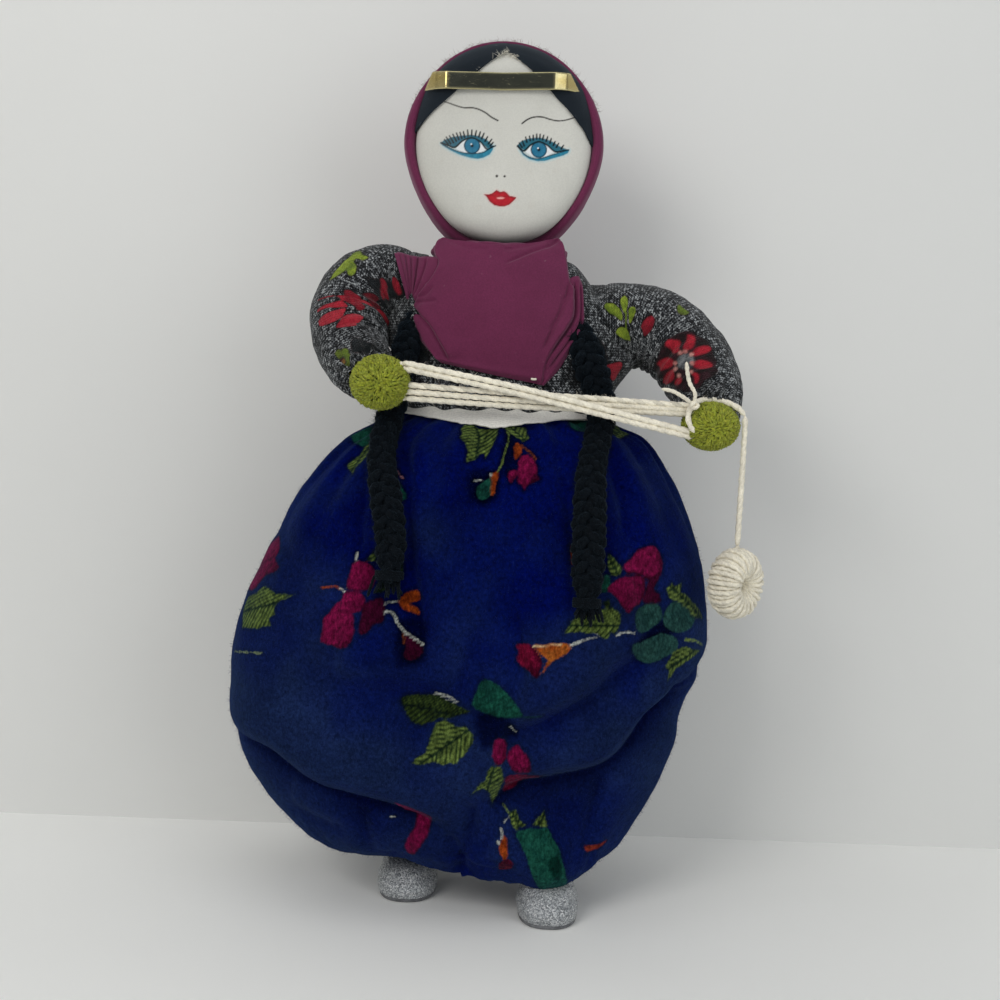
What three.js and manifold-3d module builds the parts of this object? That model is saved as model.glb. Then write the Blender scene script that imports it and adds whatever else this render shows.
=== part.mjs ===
// Cloth doll winding yarn: stuffed head and body on a wooden frame, wire arms,
// wound-yarn hands, wide trousers, a hanging skein. Millimetres, +Z up, front -Y.
import * as THREE from 'three';
import { mergeVertices } from 'three/addons/utils/BufferGeometryUtils.js';
import Module from 'manifold-3d';

const wasm = await Module();
wasm.setup();
const { Manifold } = wasm;

// ---------------------------------------------------------------- dimensions
const SHIFT_X = 3.4;            // centres the box of the doll on the origin
const SHIFT_Y = 7;
const GAP = 0.4;                // clearance between neighbouring pieces
const CLOTH = 1.2;              // thickness of a cloth cover

const HEAD_Z = 333.3;           // centre of the head puck
const HEAD_A = 38.4;            // half width of the face
const HEAD_C = 41.2;            // half height of the face
const HEAD_Y = 19;              // half depth of the head
const NECK_Y = 4;               // spine and neck axis, behind the face
const STICK_R = 3.5;
const STICK_TOP = 338;
const STICK_BOTTOM = 141;

const TORSO_TOP = 287;
const TORSO_BOTTOM = 217;
const ARM_AXIS_R = [-40.5, 2, 271];   // straight part of the arm wire
const ARM_AXIS_L = [45.5, 2, 259];
const WIRE_R = 1.1;
const HAND_R = 12.7;            // right hand ball
const HAND_L = 11.4;            // left hand ball
const HAND_R_POS = [-48, -40, 230.1];
const HAND_L_POS = [91.9, -38, 218.1];
const YARN_R = 1.3;

const HIP_Z = 134;              // middle of the wooden hip block
const ANKLE_R = [-31.8, 4, 14];
const ANKLE_L = [31.2, -21, 14];
const SHOE_W = 26;
const SHOE_LEN = 46;
const SHOE_TOP = 17.2;
const SOLE_T = 2.6;

// ------------------------------------------------------------------- helpers
function solid(geometry) {
  let g = geometry.clone();
  g.deleteAttribute('normal');
  g.deleteAttribute('uv');
  g = mergeVertices(g, 1e-4);
  const index = g.index.array;
  const tris = [];
  for (let i = 0; i < index.length; i += 3) {
    const [a, b, c] = [index[i], index[i + 1], index[i + 2]];
    if (a !== b && b !== c && c !== a) tris.push(a, b, c);
  }
  const make = (t) => new Manifold(new wasm.Mesh({
    numProp: 3,
    vertProperties: new Float32Array(g.attributes.position.array),
    triVerts: new Uint32Array(t),
  }));
  let m = make(tris);
  if (m.volume() < 0) {
    for (let i = 0; i < tris.length; i += 3) {
      const t = tris[i]; tris[i] = tris[i + 1]; tris[i + 1] = t;
    }
    m = make(tris);
  }
  return m;
}

function toGeometry(m) {
  const mesh = m.getMesh();
  const n = mesh.numProp;
  const pos = new Float32Array((mesh.vertProperties.length / n) * 3);
  for (let i = 0; i < pos.length / 3; i++) {
    pos[3 * i] = mesh.vertProperties[n * i];
    pos[3 * i + 1] = mesh.vertProperties[n * i + 1];
    pos[3 * i + 2] = mesh.vertProperties[n * i + 2];
  }
  const g = new THREE.BufferGeometry();
  g.setAttribute('position', new THREE.BufferAttribute(pos, 3));
  g.setIndex(new THREE.BufferAttribute(new Uint32Array(mesh.triVerts), 1));
  return g;
}

// a cylinder whose rings are moved to the places that place(i, angle, r) gives
function ringed(rings, sides, place) {
  const g = new THREE.CylinderGeometry(1, 1, 1, sides, rings - 1, false);
  const p = g.attributes.position;
  for (let k = 0; k < p.count; k++) {
    const x = p.getX(k);
    const y = p.getY(k);
    const z = p.getZ(k);
    const i = Math.round((0.5 - y) * (rings - 1));
    const r = Math.hypot(x, z);
    const a = r > 0.5 ? Math.atan2(x, z) : 0;
    const v = place(i, a, r > 0.5 ? 1 : 0);
    p.setXYZ(k, v[0], v[1], v[2]);
  }
  return g;
}

// body from sections listed top down: [z, xLeft, xRight, yFront, yBack, exponent]
function body(sections, sides, inset = 0) {
  return solid(ringed(sections.length, sides, (i, a, r) => {
    const [z, xl, xr, yf, yb, n] = sections[i];
    const s = Math.sin(a);
    const c = Math.cos(a);
    const e = 2 / n;
    const hx = (xr - xl) / 2 - inset;
    const hy = (yb - yf) / 2 - inset;
    const ux = Math.sign(s) * Math.abs(s) ** e * r;
    const uy = Math.sign(c) * Math.abs(c) ** e * r;
    return [(xl + xr) / 2 + ux * hx, (yf + yb) / 2 - uy * hy, z];
  }));
}

const vec = (p) => new THREE.Vector3(p[0], p[1], p[2]);

// tube of varying radius along a smooth curve through points [x, y, z, r]
function limb(points, sides, steps, inset = 0, startOver = 0, endShort = 0) {
  const curve = new THREE.CatmullRomCurve3(points.map(vec));
  const frames = curve.computeFrenetFrames(steps, false);
  const total = points.length - 1;
  return solid(ringed(steps + 1, sides, (i, a, r) => {
    const u = i / steps;
    const t = curve.getUtoTmapping(u) * total;
    const k = Math.min(Math.floor(t), total - 1);
    const f = t - k;
    const s = f * f * (3 - 2 * f);
    const rad = points[k][3] * (1 - s) + points[k + 1][3] * s - inset;
    const c = curve.getPointAt(u);
    if (i === 0) c.addScaledVector(frames.tangents[0], -startOver);
    if (i === steps) c.addScaledVector(frames.tangents[steps], -endShort);
    c.addScaledVector(frames.normals[i], Math.sin(a) * rad * r);
    c.addScaledVector(frames.binormals[i], Math.cos(a) * rad * r);
    return [c.x, c.y, c.z];
  }));
}

// round cord of even radius along a curve
function cord(points, radius, sides, steps) {
  const curve = new THREE.CatmullRomCurve3(points.map(vec));
  const shape = new THREE.Shape();
  for (let i = 0; i < sides; i++) {
    const a = (i / sides) * Math.PI * 2;
    const x = Math.cos(a) * radius;
    const y = Math.sin(a) * radius;
    if (i === 0) shape.moveTo(x, y); else shape.lineTo(x, y);
  }
  shape.closePath();
  return solid(new THREE.ExtrudeGeometry(shape, { steps, bevelEnabled: false, extrudePath: curve }));
}

function rod(a, b, radius, sides = 12) {
  const A = vec(a);
  const B = vec(b);
  const d = B.clone().sub(A);
  const g = new THREE.CylinderGeometry(radius, radius, d.length(), sides);
  g.applyQuaternion(new THREE.Quaternion().setFromUnitVectors(new THREE.Vector3(0, 1, 0), d.clone().normalize()));
  g.translate((A.x + B.x) / 2, (A.y + B.y) / 2, (A.z + B.z) / 2);
  return solid(g);
}

function ball(c, rx, ry, rz, w = 20, h = 14) {
  const g = new THREE.SphereGeometry(1, w, h);
  g.rotateX(Math.PI / 2);
  g.scale(rx, ry, rz);
  g.translate(c[0], c[1], c[2]);
  return solid(g);
}

function box(x0, x1, y0, y1, z0, z1) {
  const g = new THREE.BoxGeometry(x1 - x0, y1 - y0, z1 - z0);
  g.translate((x0 + x1) / 2, (y0 + y1) / 2, (z0 + z1) / 2);
  return solid(g);
}

// outline in the x-z plane carried through from y0 to y1
function prism(outline, y0, y1) {
  const s = new THREE.Shape(outline.map(([x, z]) => new THREE.Vector2(x, z)));
  const g = new THREE.ExtrudeGeometry(s, { depth: y1 - y0, steps: 1, bevelEnabled: false });
  g.rotateX(Math.PI / 2);
  g.translate(0, y1, 0);
  return solid(g);
}

// closed profile [radius, y] turned about the depth axis, as wide as the head
function puck(profile, seg = 24) {
  const g = new THREE.LatheGeometry(profile.map(([r, y]) => new THREE.Vector2(r, y)), seg);
  g.scale(1, 1, HEAD_C / HEAD_A);
  g.translate(0, 0, HEAD_Z);
  return solid(g);
}

// wide cone that opens along dir from a little past the apex, for ends that bend against each other
function flare(apex, dir, slope) {
  const g = new THREE.LatheGeometry([[0, 0.12], [20 * slope, 20.12], [20 * slope, 120], [0, 120]]
    .map(([r, y]) => new THREE.Vector2(r, y)), 24);
  g.applyQuaternion(new THREE.Quaternion().setFromUnitVectors(new THREE.Vector3(0, 1, 0), vec(dir).normalize()));
  g.translate(apex[0], apex[1], apex[2]);
  return solid(g);
}

const group = new THREE.Group();
group.name = 'cloth_doll';
function add(name, m, material) {
  const g = toGeometry(m);
  g.translate(SHIFT_X, SHIFT_Y, 0);
  const mesh = new THREE.Mesh(g, material);
  mesh.name = name;
  group.add(mesh);
}

const mat = (color, roughness = 0.9, metalness = 0) =>
  new THREE.MeshStandardMaterial({ color, roughness, metalness });
const WHITE_CLOTH = mat(0xe9e6df);
const BLACK_CLOTH = mat(0x14181b);
const FOIL = mat(0xc9a44a, 0.3, 1);
const PLUM = mat(0x6a2444);
const KNIT = mat(0x3a3d40);
const WADDING = mat(0xefece2, 1);
const WOOD = mat(0xc8a878, 0.7);
const STEEL = mat(0x8c8f92, 0.4, 1);
const GREEN_YARN = mat(0x8f9a2a, 1);
const CREAM_YARN = mat(0xe6e0cf, 1);
const BLACK_YARN = mat(0x15191c, 1);
const BLUE = mat(0x141f6a);
const GLITTER = mat(0xa9adb3, 0.4, 0.3);
const SOLE = mat(0x6f7074, 0.8);

// ---------------------------------------------------------------------- head
// outer surface of the face and back cover, as radius against depth
const FACE_OUT = [[0, -HEAD_Y], [22, -HEAD_Y], [29.5, -18], [34.6, -15], [37.4, -10], [HEAD_A, -3]];
const offsetFace = (d) => FACE_OUT.map(([r, y], i) => {
  const k = [0, 0, 0.35, 0.7, 0.92, 1][i];
  const f = [1, 1, 0.94, 0.71, 0.39, 0][i];
  return [Math.max(0, r + d * k), y - d * f];
});
const faceShell = (inner, outer) => {
  const o = offsetFace(outer);
  const n = offsetFace(inner).reverse();
  return puck([...o, ...n]);
};
const mirrored = (pts) => pts.map(([r, y]) => [r, -y]);
const neckHole = rod([0, NECK_Y, HEAD_Z - 60], [0, NECK_Y, STICK_TOP + 1], STICK_R + 1.1, 10);

const FACE_END = -0.6;
const cup = (d) => {
  const p = offsetFace(d);
  return [...p, [HEAD_A + d, FACE_END]];
};
const faceCloth = puck([...cup(0), ...cup(-CLOTH).reverse()]);
add('face_cloth', faceCloth, WHITE_CLOTH);
const backCloth = puck([...mirrored(cup(0)).map(([r, y]) => [r, y]), ...mirrored(cup(-CLOTH)).reverse()])
  .subtract(neckHole);
add('head_back_cloth', backCloth, WHITE_CLOTH);
const stuffSide = offsetFace(-CLOTH - GAP - 0.6).filter((p, i) => i !== 2);
add('head_stuffing', puck([...stuffSide, ...mirrored(stuffSide).reverse()], 14).subtract(neckHole), WADDING);

// hair panels: an inverted V parting, following the face
const HAIR_RIGHT = [[-0.4, 371.8], [-12.4, 362.7], [-21.5, 354], [-38.6, 338.1], [-46, 336], [-46, 381], [-0.4, 381]];
const HAIR_LEFT = [[0.4, 371.8], [11.4, 363.5], [20.2, 354.5], [29.1, 345.6], [38.7, 335], [46, 333], [46, 381], [0.4, 381]];
const hairShell = faceShell(GAP, GAP + 0.9);
add('hair_right', hairShell.intersect(prism(HAIR_RIGHT, -40, 0)), BLACK_CLOTH);
add('hair_left', hairShell.intersect(prism(HAIR_LEFT, -40, 0)), BLACK_CLOTH);

const BAND = [[-34.5, 355], [-20, 354.6], [20, 355.4], [32, 356.4], [28, 363.8], [20, 363], [-20, 362.2], [-31, 362.6]];
add('headband', faceShell(1.8, 2.4).intersect(prism(BAND, -40, -6)), FOIL);

const HOOD_OUT = [[42.2, -11.5], [43.5, -6], [43.6, 3], [41.6, 12], [36, 18.6], [24, 22.6], [0, 24]];
const HOOD_IN = [[40.9, -11.2], [42, -6], [42.1, 3], [40.2, 11.4], [35, 17.4], [23.6, 21.2], [0, 22.6]];
const hood = puck([...[...HOOD_IN].reverse(), ...HOOD_OUT])
  .subtract(box(-26, 26, -40, 40, 270, 303))
  .subtract(box(-60, 60, -40, 40, 270, 293.2));
add('headscarf', hood, PLUM);

// --------------------------------------------------------------------- torso
const TORSO = [
  [TORSO_TOP, -24, 26, -17, 19, 2.2],
  [284.5, -31, 33, -20.5, 22, 2.4],
  [279, -36.4, 38.4, -23, 23.6, 2.6],
  [270, -38.6, 43.4, -25, 24.6, 2.8],
  [257, -38.8, 43.6, -26, 25, 2.8],
  [242.4, -38.6, 41, -26, 25, 2.7],
  [236.4, -38.4, 49, -25.8, 25, 2.6],      // fullness under the left sleeve
  [231, -38.2, 49.6, -25.6, 25, 2.6],
  [228, -38.1, 47.6, -25.5, 25, 2.6],
  [227, -38, 45, -25.4, 25, 2.6],
  [TORSO_BOTTOM, -37.6, 44.4, -25, 25, 2.6],
];
const TORSO_LAST = TORSO[TORSO.length - 1];
const TORSO_FULL = [5, 6, 7, 8];        // sections that the filling passes by
const stickBore = (r) => rod([0, NECK_Y, STICK_BOTTOM - 20], [0, NECK_Y, STICK_TOP + 1], r, 10);
const axisDir = vec(ARM_AXIS_L).sub(vec(ARM_AXIS_R)).normalize();
const along = (p, d) => vec(p).addScaledVector(axisDir, d).toArray();
const wireBore = rod(along(ARM_AXIS_R, -30), along(ARM_AXIS_L, 30), WIRE_R + 0.9, 8);
const torsoInside = TORSO.map((s, i) => (i === 0 ? [TORSO_TOP - CLOTH, ...s.slice(1)] : s));
const openBottom = [...torsoInside.slice(0, -1), [TORSO_BOTTOM - 3, ...TORSO_LAST.slice(1)]];
add('blouse', body(TORSO, 20)
  .subtract(body(openBottom, 20, CLOTH))
  .subtract(wireBore)
  .subtract(stickBore(STICK_R + 0.8)), KNIT);
const stuffTorso = torsoInside.map((s, i) => (i === 0 ? [s[0] - GAP - 0.6, ...s.slice(1)] : s)).filter((s, i) => i !== 4 && !TORSO_FULL.slice(1).includes(i));
add('torso_stuffing', body(stuffTorso, 20, CLOTH + GAP + 1)
  .subtract(wireBore)
  .subtract(stickBore(STICK_R + 0.4)), WADDING);
add('spine_stick', rod([0, NECK_Y, STICK_BOTTOM], [0, NECK_Y, STICK_TOP], STICK_R, 10)
  .subtract(wireBore), WOOD);

// scarf pieces over the torso
const scarfShell = (d0, d1) => body(TORSO.slice(1), 20, -d1)
  .subtract(body([[290, ...TORSO[1].slice(1)], ...TORSO.slice(1, -1), [TORSO_BOTTOM - 3, ...TORSO_LAST.slice(1)]], 20, -d0));
const BIB = [[-37.6, 284.3], [31, 284.3], [37, 276], [37.2, 262], [35.6, 252], [31.4, 244.4], [26, 236], [21.2, 231], [12, 231.2],
  [-6, 235.4], [-20.6, 239.6], [-29, 245], [-34, 253], [-37, 261]];
add('scarf_bib', scarfShell(1.2, 3.2).intersect(prism(BIB, -60, -6)), PLUM);
const SCARF_BACK = [[-33, 284.3], [33, 284.3], [34, 272], [4, 228], [-2, 228], [-33, 272]];
add('scarf_back', scarfShell(1.2, 2.8).intersect(prism(SCARF_BACK, 6, 60)), PLUM);
const neckRing = (inset, z0, z1) => body([
  [z1, -25.5, 26.5, -20, 22, 2.3], [z1 - 1.6, -28.2, 29.2, -22.4, 24.2, 2.4], [z0, -29, 30, -23.4, 25, 2.4],
], 20, inset);
add('neck_wrap', neckRing(0, TORSO_TOP + 0.5, 291.7)
  .subtract(rod([0, NECK_Y, 280], [0, NECK_Y, 300], 9, 14)), PLUM);

const ringBody = (inset) => body([
  [226.5, -40.6, 47, -28, 27.8, 2.6], [221, -41.2, 48, -28.6, 28.2, 2.6], [TORSO_BOTTOM + 0.4, -41, 48, -28.4, 28, 2.6],
], 20, inset);
const ringHole = body([
  [230, -40.6, 47, -28, 27.8, 2.6], [221, -41.2, 48, -28.6, 28.2, 2.6], [212, -41, 48, -28.4, 28, 2.6],
], 20, 1.4);
add('waistband', ringBody(0).subtract(ringHole), WHITE_CLOTH);

// ---------------------------------------------------------------------- arms
const ARM_RIGHT = [
  [...ARM_AXIS_R, 17], [-52, 0.4, 272.4, 18], [-61, -4.5, 267, 18], [-64.6, -11, 256, 17.2],
  [-62, -20.5, 243.6, 15.6], [-55.6, -31, 235, 13],
];
const ARM_LEFT = [
  [...ARM_AXIS_L, 17.5], [61, 0.4, 259, 18.4], [75, -4.5, 254.6, 18], [85.6, -12.5, 243.4, 17.2],
  [91.4, -22, 231, 15.6], [92.6, -31, 222.6, 12.4],
];
const handRight = ball(HAND_R_POS, HAND_R, HAND_R, HAND_R, 14, 9);
const handLeft = ball(HAND_L_POS, HAND_L + 0.6, HAND_L - 0.4, HAND_L, 14, 9);
const roomRight = ball(HAND_R_POS, HAND_R + GAP, HAND_R + GAP, HAND_R + GAP, 14, 9);
const roomLeft = ball(HAND_L_POS, HAND_L + 0.6 + GAP, HAND_L - 0.4 + GAP, HAND_L + GAP, 14, 9);

const wirePts = [
  HAND_R_POS, ...[...ARM_RIGHT].reverse().map((p) => p.slice(0, 3)),
  along(ARM_AXIS_R, 20), along(ARM_AXIS_L, -20),
  ...ARM_LEFT.map((p) => p.slice(0, 3)), HAND_L_POS,
];
const armWire = cord(wirePts, WIRE_R, 6, 32);
const wireRoom = cord(wirePts, WIRE_R + 0.45, 6, 32);
add('arm_wire', armWire, STEEL);

const keepOutRight = (d) => {
  const g = new THREE.BoxGeometry(60, 120, 120);
  g.rotateY(Math.atan2(-axisDir.z, axisDir.x));
  const c = along(ARM_AXIS_R, 30 - d);
  g.translate(c[0], c[1], c[2]);
  return solid(g);
};
const keepOutLeft = (d) => {
  const g = new THREE.BoxGeometry(60, 120, 120);
  g.rotateY(Math.atan2(-axisDir.z, axisDir.x));
  const c = along(ARM_AXIS_L, -30 + d);
  g.translate(c[0], c[1], c[2]);
  return solid(g);
};
const sleeve = (arm, room, keep) => limb(arm, 12, 8, 0, 3)
  .subtract(limb(arm, 12, 8, CLOTH, 9, CLOTH))
  .subtract(room).subtract(wireRoom).subtract(keep);
const armFill = (arm, room, keep) => limb(arm, 8, 8, CLOTH + GAP + 3, 6, CLOTH + GAP)
  .subtract(room).subtract(wireRoom).subtract(keep);
add('sleeve_right', sleeve(ARM_RIGHT, roomRight, keepOutRight(0)), KNIT);
add('sleeve_left', sleeve(ARM_LEFT, roomLeft, keepOutLeft(0)), KNIT);
add('arm_stuffing_right', armFill(ARM_RIGHT, roomRight, keepOutRight(0)), WADDING);
add('arm_stuffing_left', armFill(ARM_LEFT, roomLeft, keepOutLeft(0)), WADDING);
add('hand_right', handRight.subtract(wireRoom).subtract(ball(HAND_R_POS, 1.9, 1.9, 1.9, 6, 4)), GREEN_YARN);
add('hand_left', handLeft.subtract(wireRoom).subtract(ball(HAND_L_POS, 1.9, 1.9, 1.9, 6, 4)), GREEN_YARN);

// five strands held taut between the hands, crossing on the way
const STRANDS = [
  [[-35.5, -44.6, 239.6], [6, -46.4, 231.6], [42, -47.2, 223.6], [79.6, -44.2, 215.4]],
  [[-34.6, -44.2, 236.4], [6, -46.2, 228.4], [42, -47, 220.4], [80.2, -43.6, 211.8]],
  [[-34.4, -42, 229.6], [6, -42.4, 227.8], [42, -43, 227.4], [79.2, -41.6, 226.8]],
  [[-34.4, -41.8, 226.4], [6, -42.2, 224.6], [42, -42.8, 224.2], [78.8, -41.4, 223.4]],
  [[-34.8, -41.6, 223.2], [6, -42, 221.4], [42, -42.6, 221], [78.6, -41.2, 220]],
];
STRANDS.forEach((pts, i) => {
  add(`yarn_strand_${i + 1}`, cord(pts, YARN_R, 8, 8).subtract(roomLeft).subtract(roomRight), CREAM_YARN);
});

// hanging yarn and skein
const DROP_X = 104.3;
const DROP_Y = -38.5;
const DROP_TOP = 225.5;
const DROP_MID = 218;
const DROP_END = 167.4;
const DROP_PIVOT = [DROP_X + 1.6, DROP_Y, DROP_MID];
const DROP_SLOPE = 1.85;        // ends stay clear when the yarn swings by 50 degrees
add('drop_yarn_top', cord([[DROP_X + 1.6, DROP_Y, DROP_TOP], [DROP_X + 1.6, DROP_Y, DROP_MID + 0.2]], YARN_R, 8, 2)
  .intersect(flare(DROP_PIVOT, [0, 0, 1], DROP_SLOPE)), CREAM_YARN);
add('drop_yarn', cord([[DROP_X + 1.6, DROP_Y, DROP_MID - 0.2], [DROP_X + 1.4, DROP_Y, 190], [DROP_X + 1, DROP_Y, DROP_END]], YARN_R, 8, 8)
  .intersect(flare(DROP_PIVOT, [0, 0, -1], DROP_SLOPE)), CREAM_YARN);
const skein = new THREE.LatheGeometry(
  [[3.2, -5], [7.6, -8.6], [12.4, -7.6], [15.4, -3], [15.4, 3], [12.4, 7.6], [7.6, 8.6], [3.2, 5], [2, 0], [3.2, -5]]
    .map(([r, y]) => new THREE.Vector2(r, y)), 18);
skein.scale(0.86, 1, 1);
skein.rotateZ(0.72);
skein.rotateX(0.12);
skein.translate(DROP_X + 0.7, DROP_Y, 150.6);
add('yarn_skein', solid(skein), CREAM_YARN);

// -------------------------------------------------------------------- braids
const braid = (pts, steps) => limb(pts, 8, steps);
const BRAID_R_PIVOT = [-35.2, -33.8, 217.8];
const BRAID_L_PIVOT = [42.1, -33.8, 217.8];
const BRAID_SLOPE = 2.5;        // ends stay clear when a braid lifts by 35 degrees
const BRAID_UP = [0.1, 0.34, 0.93];
const BRAID_DOWN = [-0.1, -0.4, -0.91];
add('braid_right_top', braid([[-33, -29.4, 258, 3.6], [-33.4, -29, 246, 4], [-33.6, -29, 231, 4], [-35, -33.4, 218.4, 4]], 5)
  .intersect(flare(BRAID_R_PIVOT, BRAID_UP, BRAID_SLOPE)), BLACK_YARN);
add('braid_left_top', braid([[40.4, -27.6, 254, 3.6], [40.8, -29, 243, 4], [41.2, -30, 231, 4], [42, -33.4, 218.4, 4]], 5)
  .intersect(flare(BRAID_L_PIVOT, BRAID_UP, BRAID_SLOPE)), BLACK_YARN);
add('braid_right', braid([[-35.4, -34.2, 217.2, 4], [-40, -39.6, 206, 5.2], [-44.4, -48.6, 189, 6], [-44.6, -54.4, 174, 6], [-43, -57.4, 160, 6], [-40.6, -58.6, 147.2, 5]], 7)
  .intersect(flare(BRAID_R_PIVOT, BRAID_DOWN, BRAID_SLOPE)), BLACK_YARN);
add('braid_left', braid([[42.2, -34.2, 217.2, 4], [43.2, -39.4, 206, 5.2], [44.4, -48.4, 189, 6], [45.6, -54.2, 174, 6], [46.8, -57.2, 160, 6], [47.4, -58.4, 148.2, 5]], 7)
  .intersect(flare(BRAID_L_PIVOT, BRAID_DOWN, BRAID_SLOPE)), BLACK_YARN);
const tie = (c, tilt) => {
  const g = new THREE.CylinderGeometry(4.4, 5.6, 6, 12);
  g.rotateX(Math.PI / 2);
  g.rotateX(tilt);
  g.translate(c[0], c[1], c[2]);
  return solid(g);
};
add('braid_tie_right', tie([-40.4, -59, 142.9], -0.1), BLACK_YARN);
add('braid_tie_left', tie([47.5, -58.8, 143.9], -0.1), BLACK_YARN);

// ------------------------------------------------------------------ trousers
const TROUSERS = [
  [216.4, -40.4, 46.8, -28, 27.6, 2.5],
  [209, -56, 65, -35, 33, 2.4],
  [201, -67.5, 73, -39.8, 36.4, 2.4],
  [176, -87, 87, -48.4, 43.6, 2.4],
  [148, -102, 95.2, -53, 47.6, 2.4],
  [120, -110.5, 97.8, -55.4, 49.4, 2.4],
  [95, -113.4, 92, -55.6, 49.6, 2.4],
  [77, -113.2, 87, -54.4, 48.4, 2.4],
  [60, -107.6, 81.4, -52.4, 45.6, 2.4],
  [42, -94, 73, -49, 41, 2.4],
  [26, -76, 61, -44.4, 34, 2.4],
  [SHOE_TOP + 0.4, -51, 45.6, -39, 22, 2.4],
];
const T_BOTTOM = TROUSERS[TROUSERS.length - 1];
const legRod = (top, ankle, r) => rod(top, ankle, r, 10);
const HIP_R = [-20, 2, HIP_Z - 9.2];
const HIP_L = [20, 0, HIP_Z - 9.2];
const beyond = (a, b, d) => {
  const u = vec(b).sub(vec(a)).normalize();
  return vec(b).addScaledVector(u, d).toArray();
};
const legRoom = (r) => legRod(beyond(ANKLE_R, HIP_R, 2), beyond(HIP_R, ANKLE_R, 8), r)
  .add(legRod(beyond(ANKLE_L, HIP_L, 2), beyond(HIP_L, ANKLE_L, 8), r));
const trouserIn = TROUSERS.map((s, i) => {
  if (i === 0) return [219, ...s.slice(1)];
  if (i === TROUSERS.length - 1) return [T_BOTTOM[0] + CLOTH, ...s.slice(1)];
  return s;
});
add('trousers', body(TROUSERS, 24).subtract(body(trouserIn, 24, CLOTH)).subtract(legRoom(7.6)), BLUE);
const fill = TROUSERS.map((s, i) => {
  if (i === 0) return [213, -47, 51.6, -31.4, 30, 2.5];
  if (i === TROUSERS.length - 1) return [T_BOTTOM[0] + CLOTH + GAP + 1.4, ...s.slice(1)];
  return s;
});
const hipRoom = box(-28, 28, -7.6, 11.6, HIP_Z - 8, HIP_Z + 7.2);
add('trouser_wadding', body(fill.filter((s, i) => i !== 6 && i !== 8), 24, CLOTH + GAP + 1.2)
  .subtract(hipRoom).subtract(legRoom(5)).subtract(stickBore(STICK_R + 0.5)), WADDING);
add('hip_block', box(-27.4, 27.4, -7, 11, HIP_Z - 7.6, HIP_Z + 6.6), WOOD);
add('leg_stick_right', legRod(HIP_R, ANKLE_R, 4.4), WOOD);
add('leg_stick_left', legRod(HIP_L, ANKLE_L, 4.4), WOOD);

// --------------------------------------------------------------------- shoes
function shoe(ankle) {
  const c = [ankle[0], ankle[1] - 5];
  const w = SHOE_W / 2;
  const l = SHOE_LEN / 2;
  const ring = (z, k, kl, dy) => [z, c[0] - w * k, c[0] + w * k, c[1] - l * kl + dy, c[1] + l * kl + dy, 2.3];
  return body([
    ring(SHOE_TOP, 0.62, 0.42, 5), ring(SHOE_TOP - 1.2, 0.8, 0.62, 3.8), ring(12.8, 0.94, 0.84, 1.6),
    ring(8, 1, 0.98, 0.2), ring(SOLE_T + 0.4, 0.97, 0.97, 0),
  ], 20);
}
function sole(ankle) {
  const c = [ankle[0], ankle[1] - 5];
  const w = SHOE_W / 2 - 0.6;
  const l = SHOE_LEN / 2;
  const s = [SOLE_T, c[0] - w, c[0] + w, c[1] - l, c[1] + l, 2.3];
  return body([s, [0, ...s.slice(1)]], 20);
}
add('shoe_right', shoe(ANKLE_R).subtract(legRoom(4.8)), GLITTER);
add('shoe_left', shoe(ANKLE_L).subtract(legRoom(4.8)), GLITTER);
add('sole_right', sole(ANKLE_R), SOLE);
add('sole_left', sole(ANKLE_L), SOLE);

export default group;
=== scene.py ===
import math

import bpy
import numpy as np
from mathutils import Matrix, Vector
from mathutils.kdtree import KDTree


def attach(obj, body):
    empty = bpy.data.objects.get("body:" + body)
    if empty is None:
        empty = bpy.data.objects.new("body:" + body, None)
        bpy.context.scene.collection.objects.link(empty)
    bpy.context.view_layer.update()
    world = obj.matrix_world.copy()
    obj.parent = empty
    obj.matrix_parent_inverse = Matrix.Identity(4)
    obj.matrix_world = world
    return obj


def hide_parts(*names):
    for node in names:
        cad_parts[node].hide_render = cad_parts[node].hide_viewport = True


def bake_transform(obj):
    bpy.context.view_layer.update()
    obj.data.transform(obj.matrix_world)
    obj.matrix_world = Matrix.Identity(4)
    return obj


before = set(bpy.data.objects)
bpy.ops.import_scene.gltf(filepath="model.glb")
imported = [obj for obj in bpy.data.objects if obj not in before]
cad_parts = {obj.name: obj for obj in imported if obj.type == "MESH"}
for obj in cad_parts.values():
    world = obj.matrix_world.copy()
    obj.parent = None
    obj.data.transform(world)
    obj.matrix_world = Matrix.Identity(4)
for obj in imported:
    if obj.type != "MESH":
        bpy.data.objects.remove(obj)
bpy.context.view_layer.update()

# ---------------------------------------------------------------- the frame
# Shapes are written in millimetres in the doll's own axes; W() carries them
# to the shared frame in metres.
SHIFT = np.array([3.4, 7.0, 0.0])


def W(p):
    return (np.asarray(p, float) + SHIFT) * 0.001


def Wt(p):
    return tuple(float(v) for v in W(p))


# camera: 50 mm lens, square picture, looking slightly down, rolled a little
CAM_E, CAM_ROLL, CAM_D, CAM_F = math.radians(5.0), math.radians(2.1), 625.0, 1000 * 50 / 36.0
CAM_T = np.array([4.0, 0.0, 179.0])
FWD = np.array([0, math.cos(CAM_E), -math.sin(CAM_E)])
_r0 = np.array([1.0, 0, 0])
_u0 = np.array([0, math.sin(CAM_E), math.cos(CAM_E)])
RIGHT = _r0 * math.cos(CAM_ROLL) + _u0 * math.sin(CAM_ROLL)
UP = _u0 * math.cos(CAM_ROLL) - _r0 * math.sin(CAM_ROLL)
CAM_C = CAM_T - FWD * CAM_D


def project(p):
    """Place of doll points in the 1000 x 1000 picture."""
    d = np.asarray(p, float) - CAM_C
    k = CAM_F / (d @ FWD)
    return np.stack([500 + (d @ RIGHT) * k, 500 - (d @ UP) * k], -1)


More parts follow.
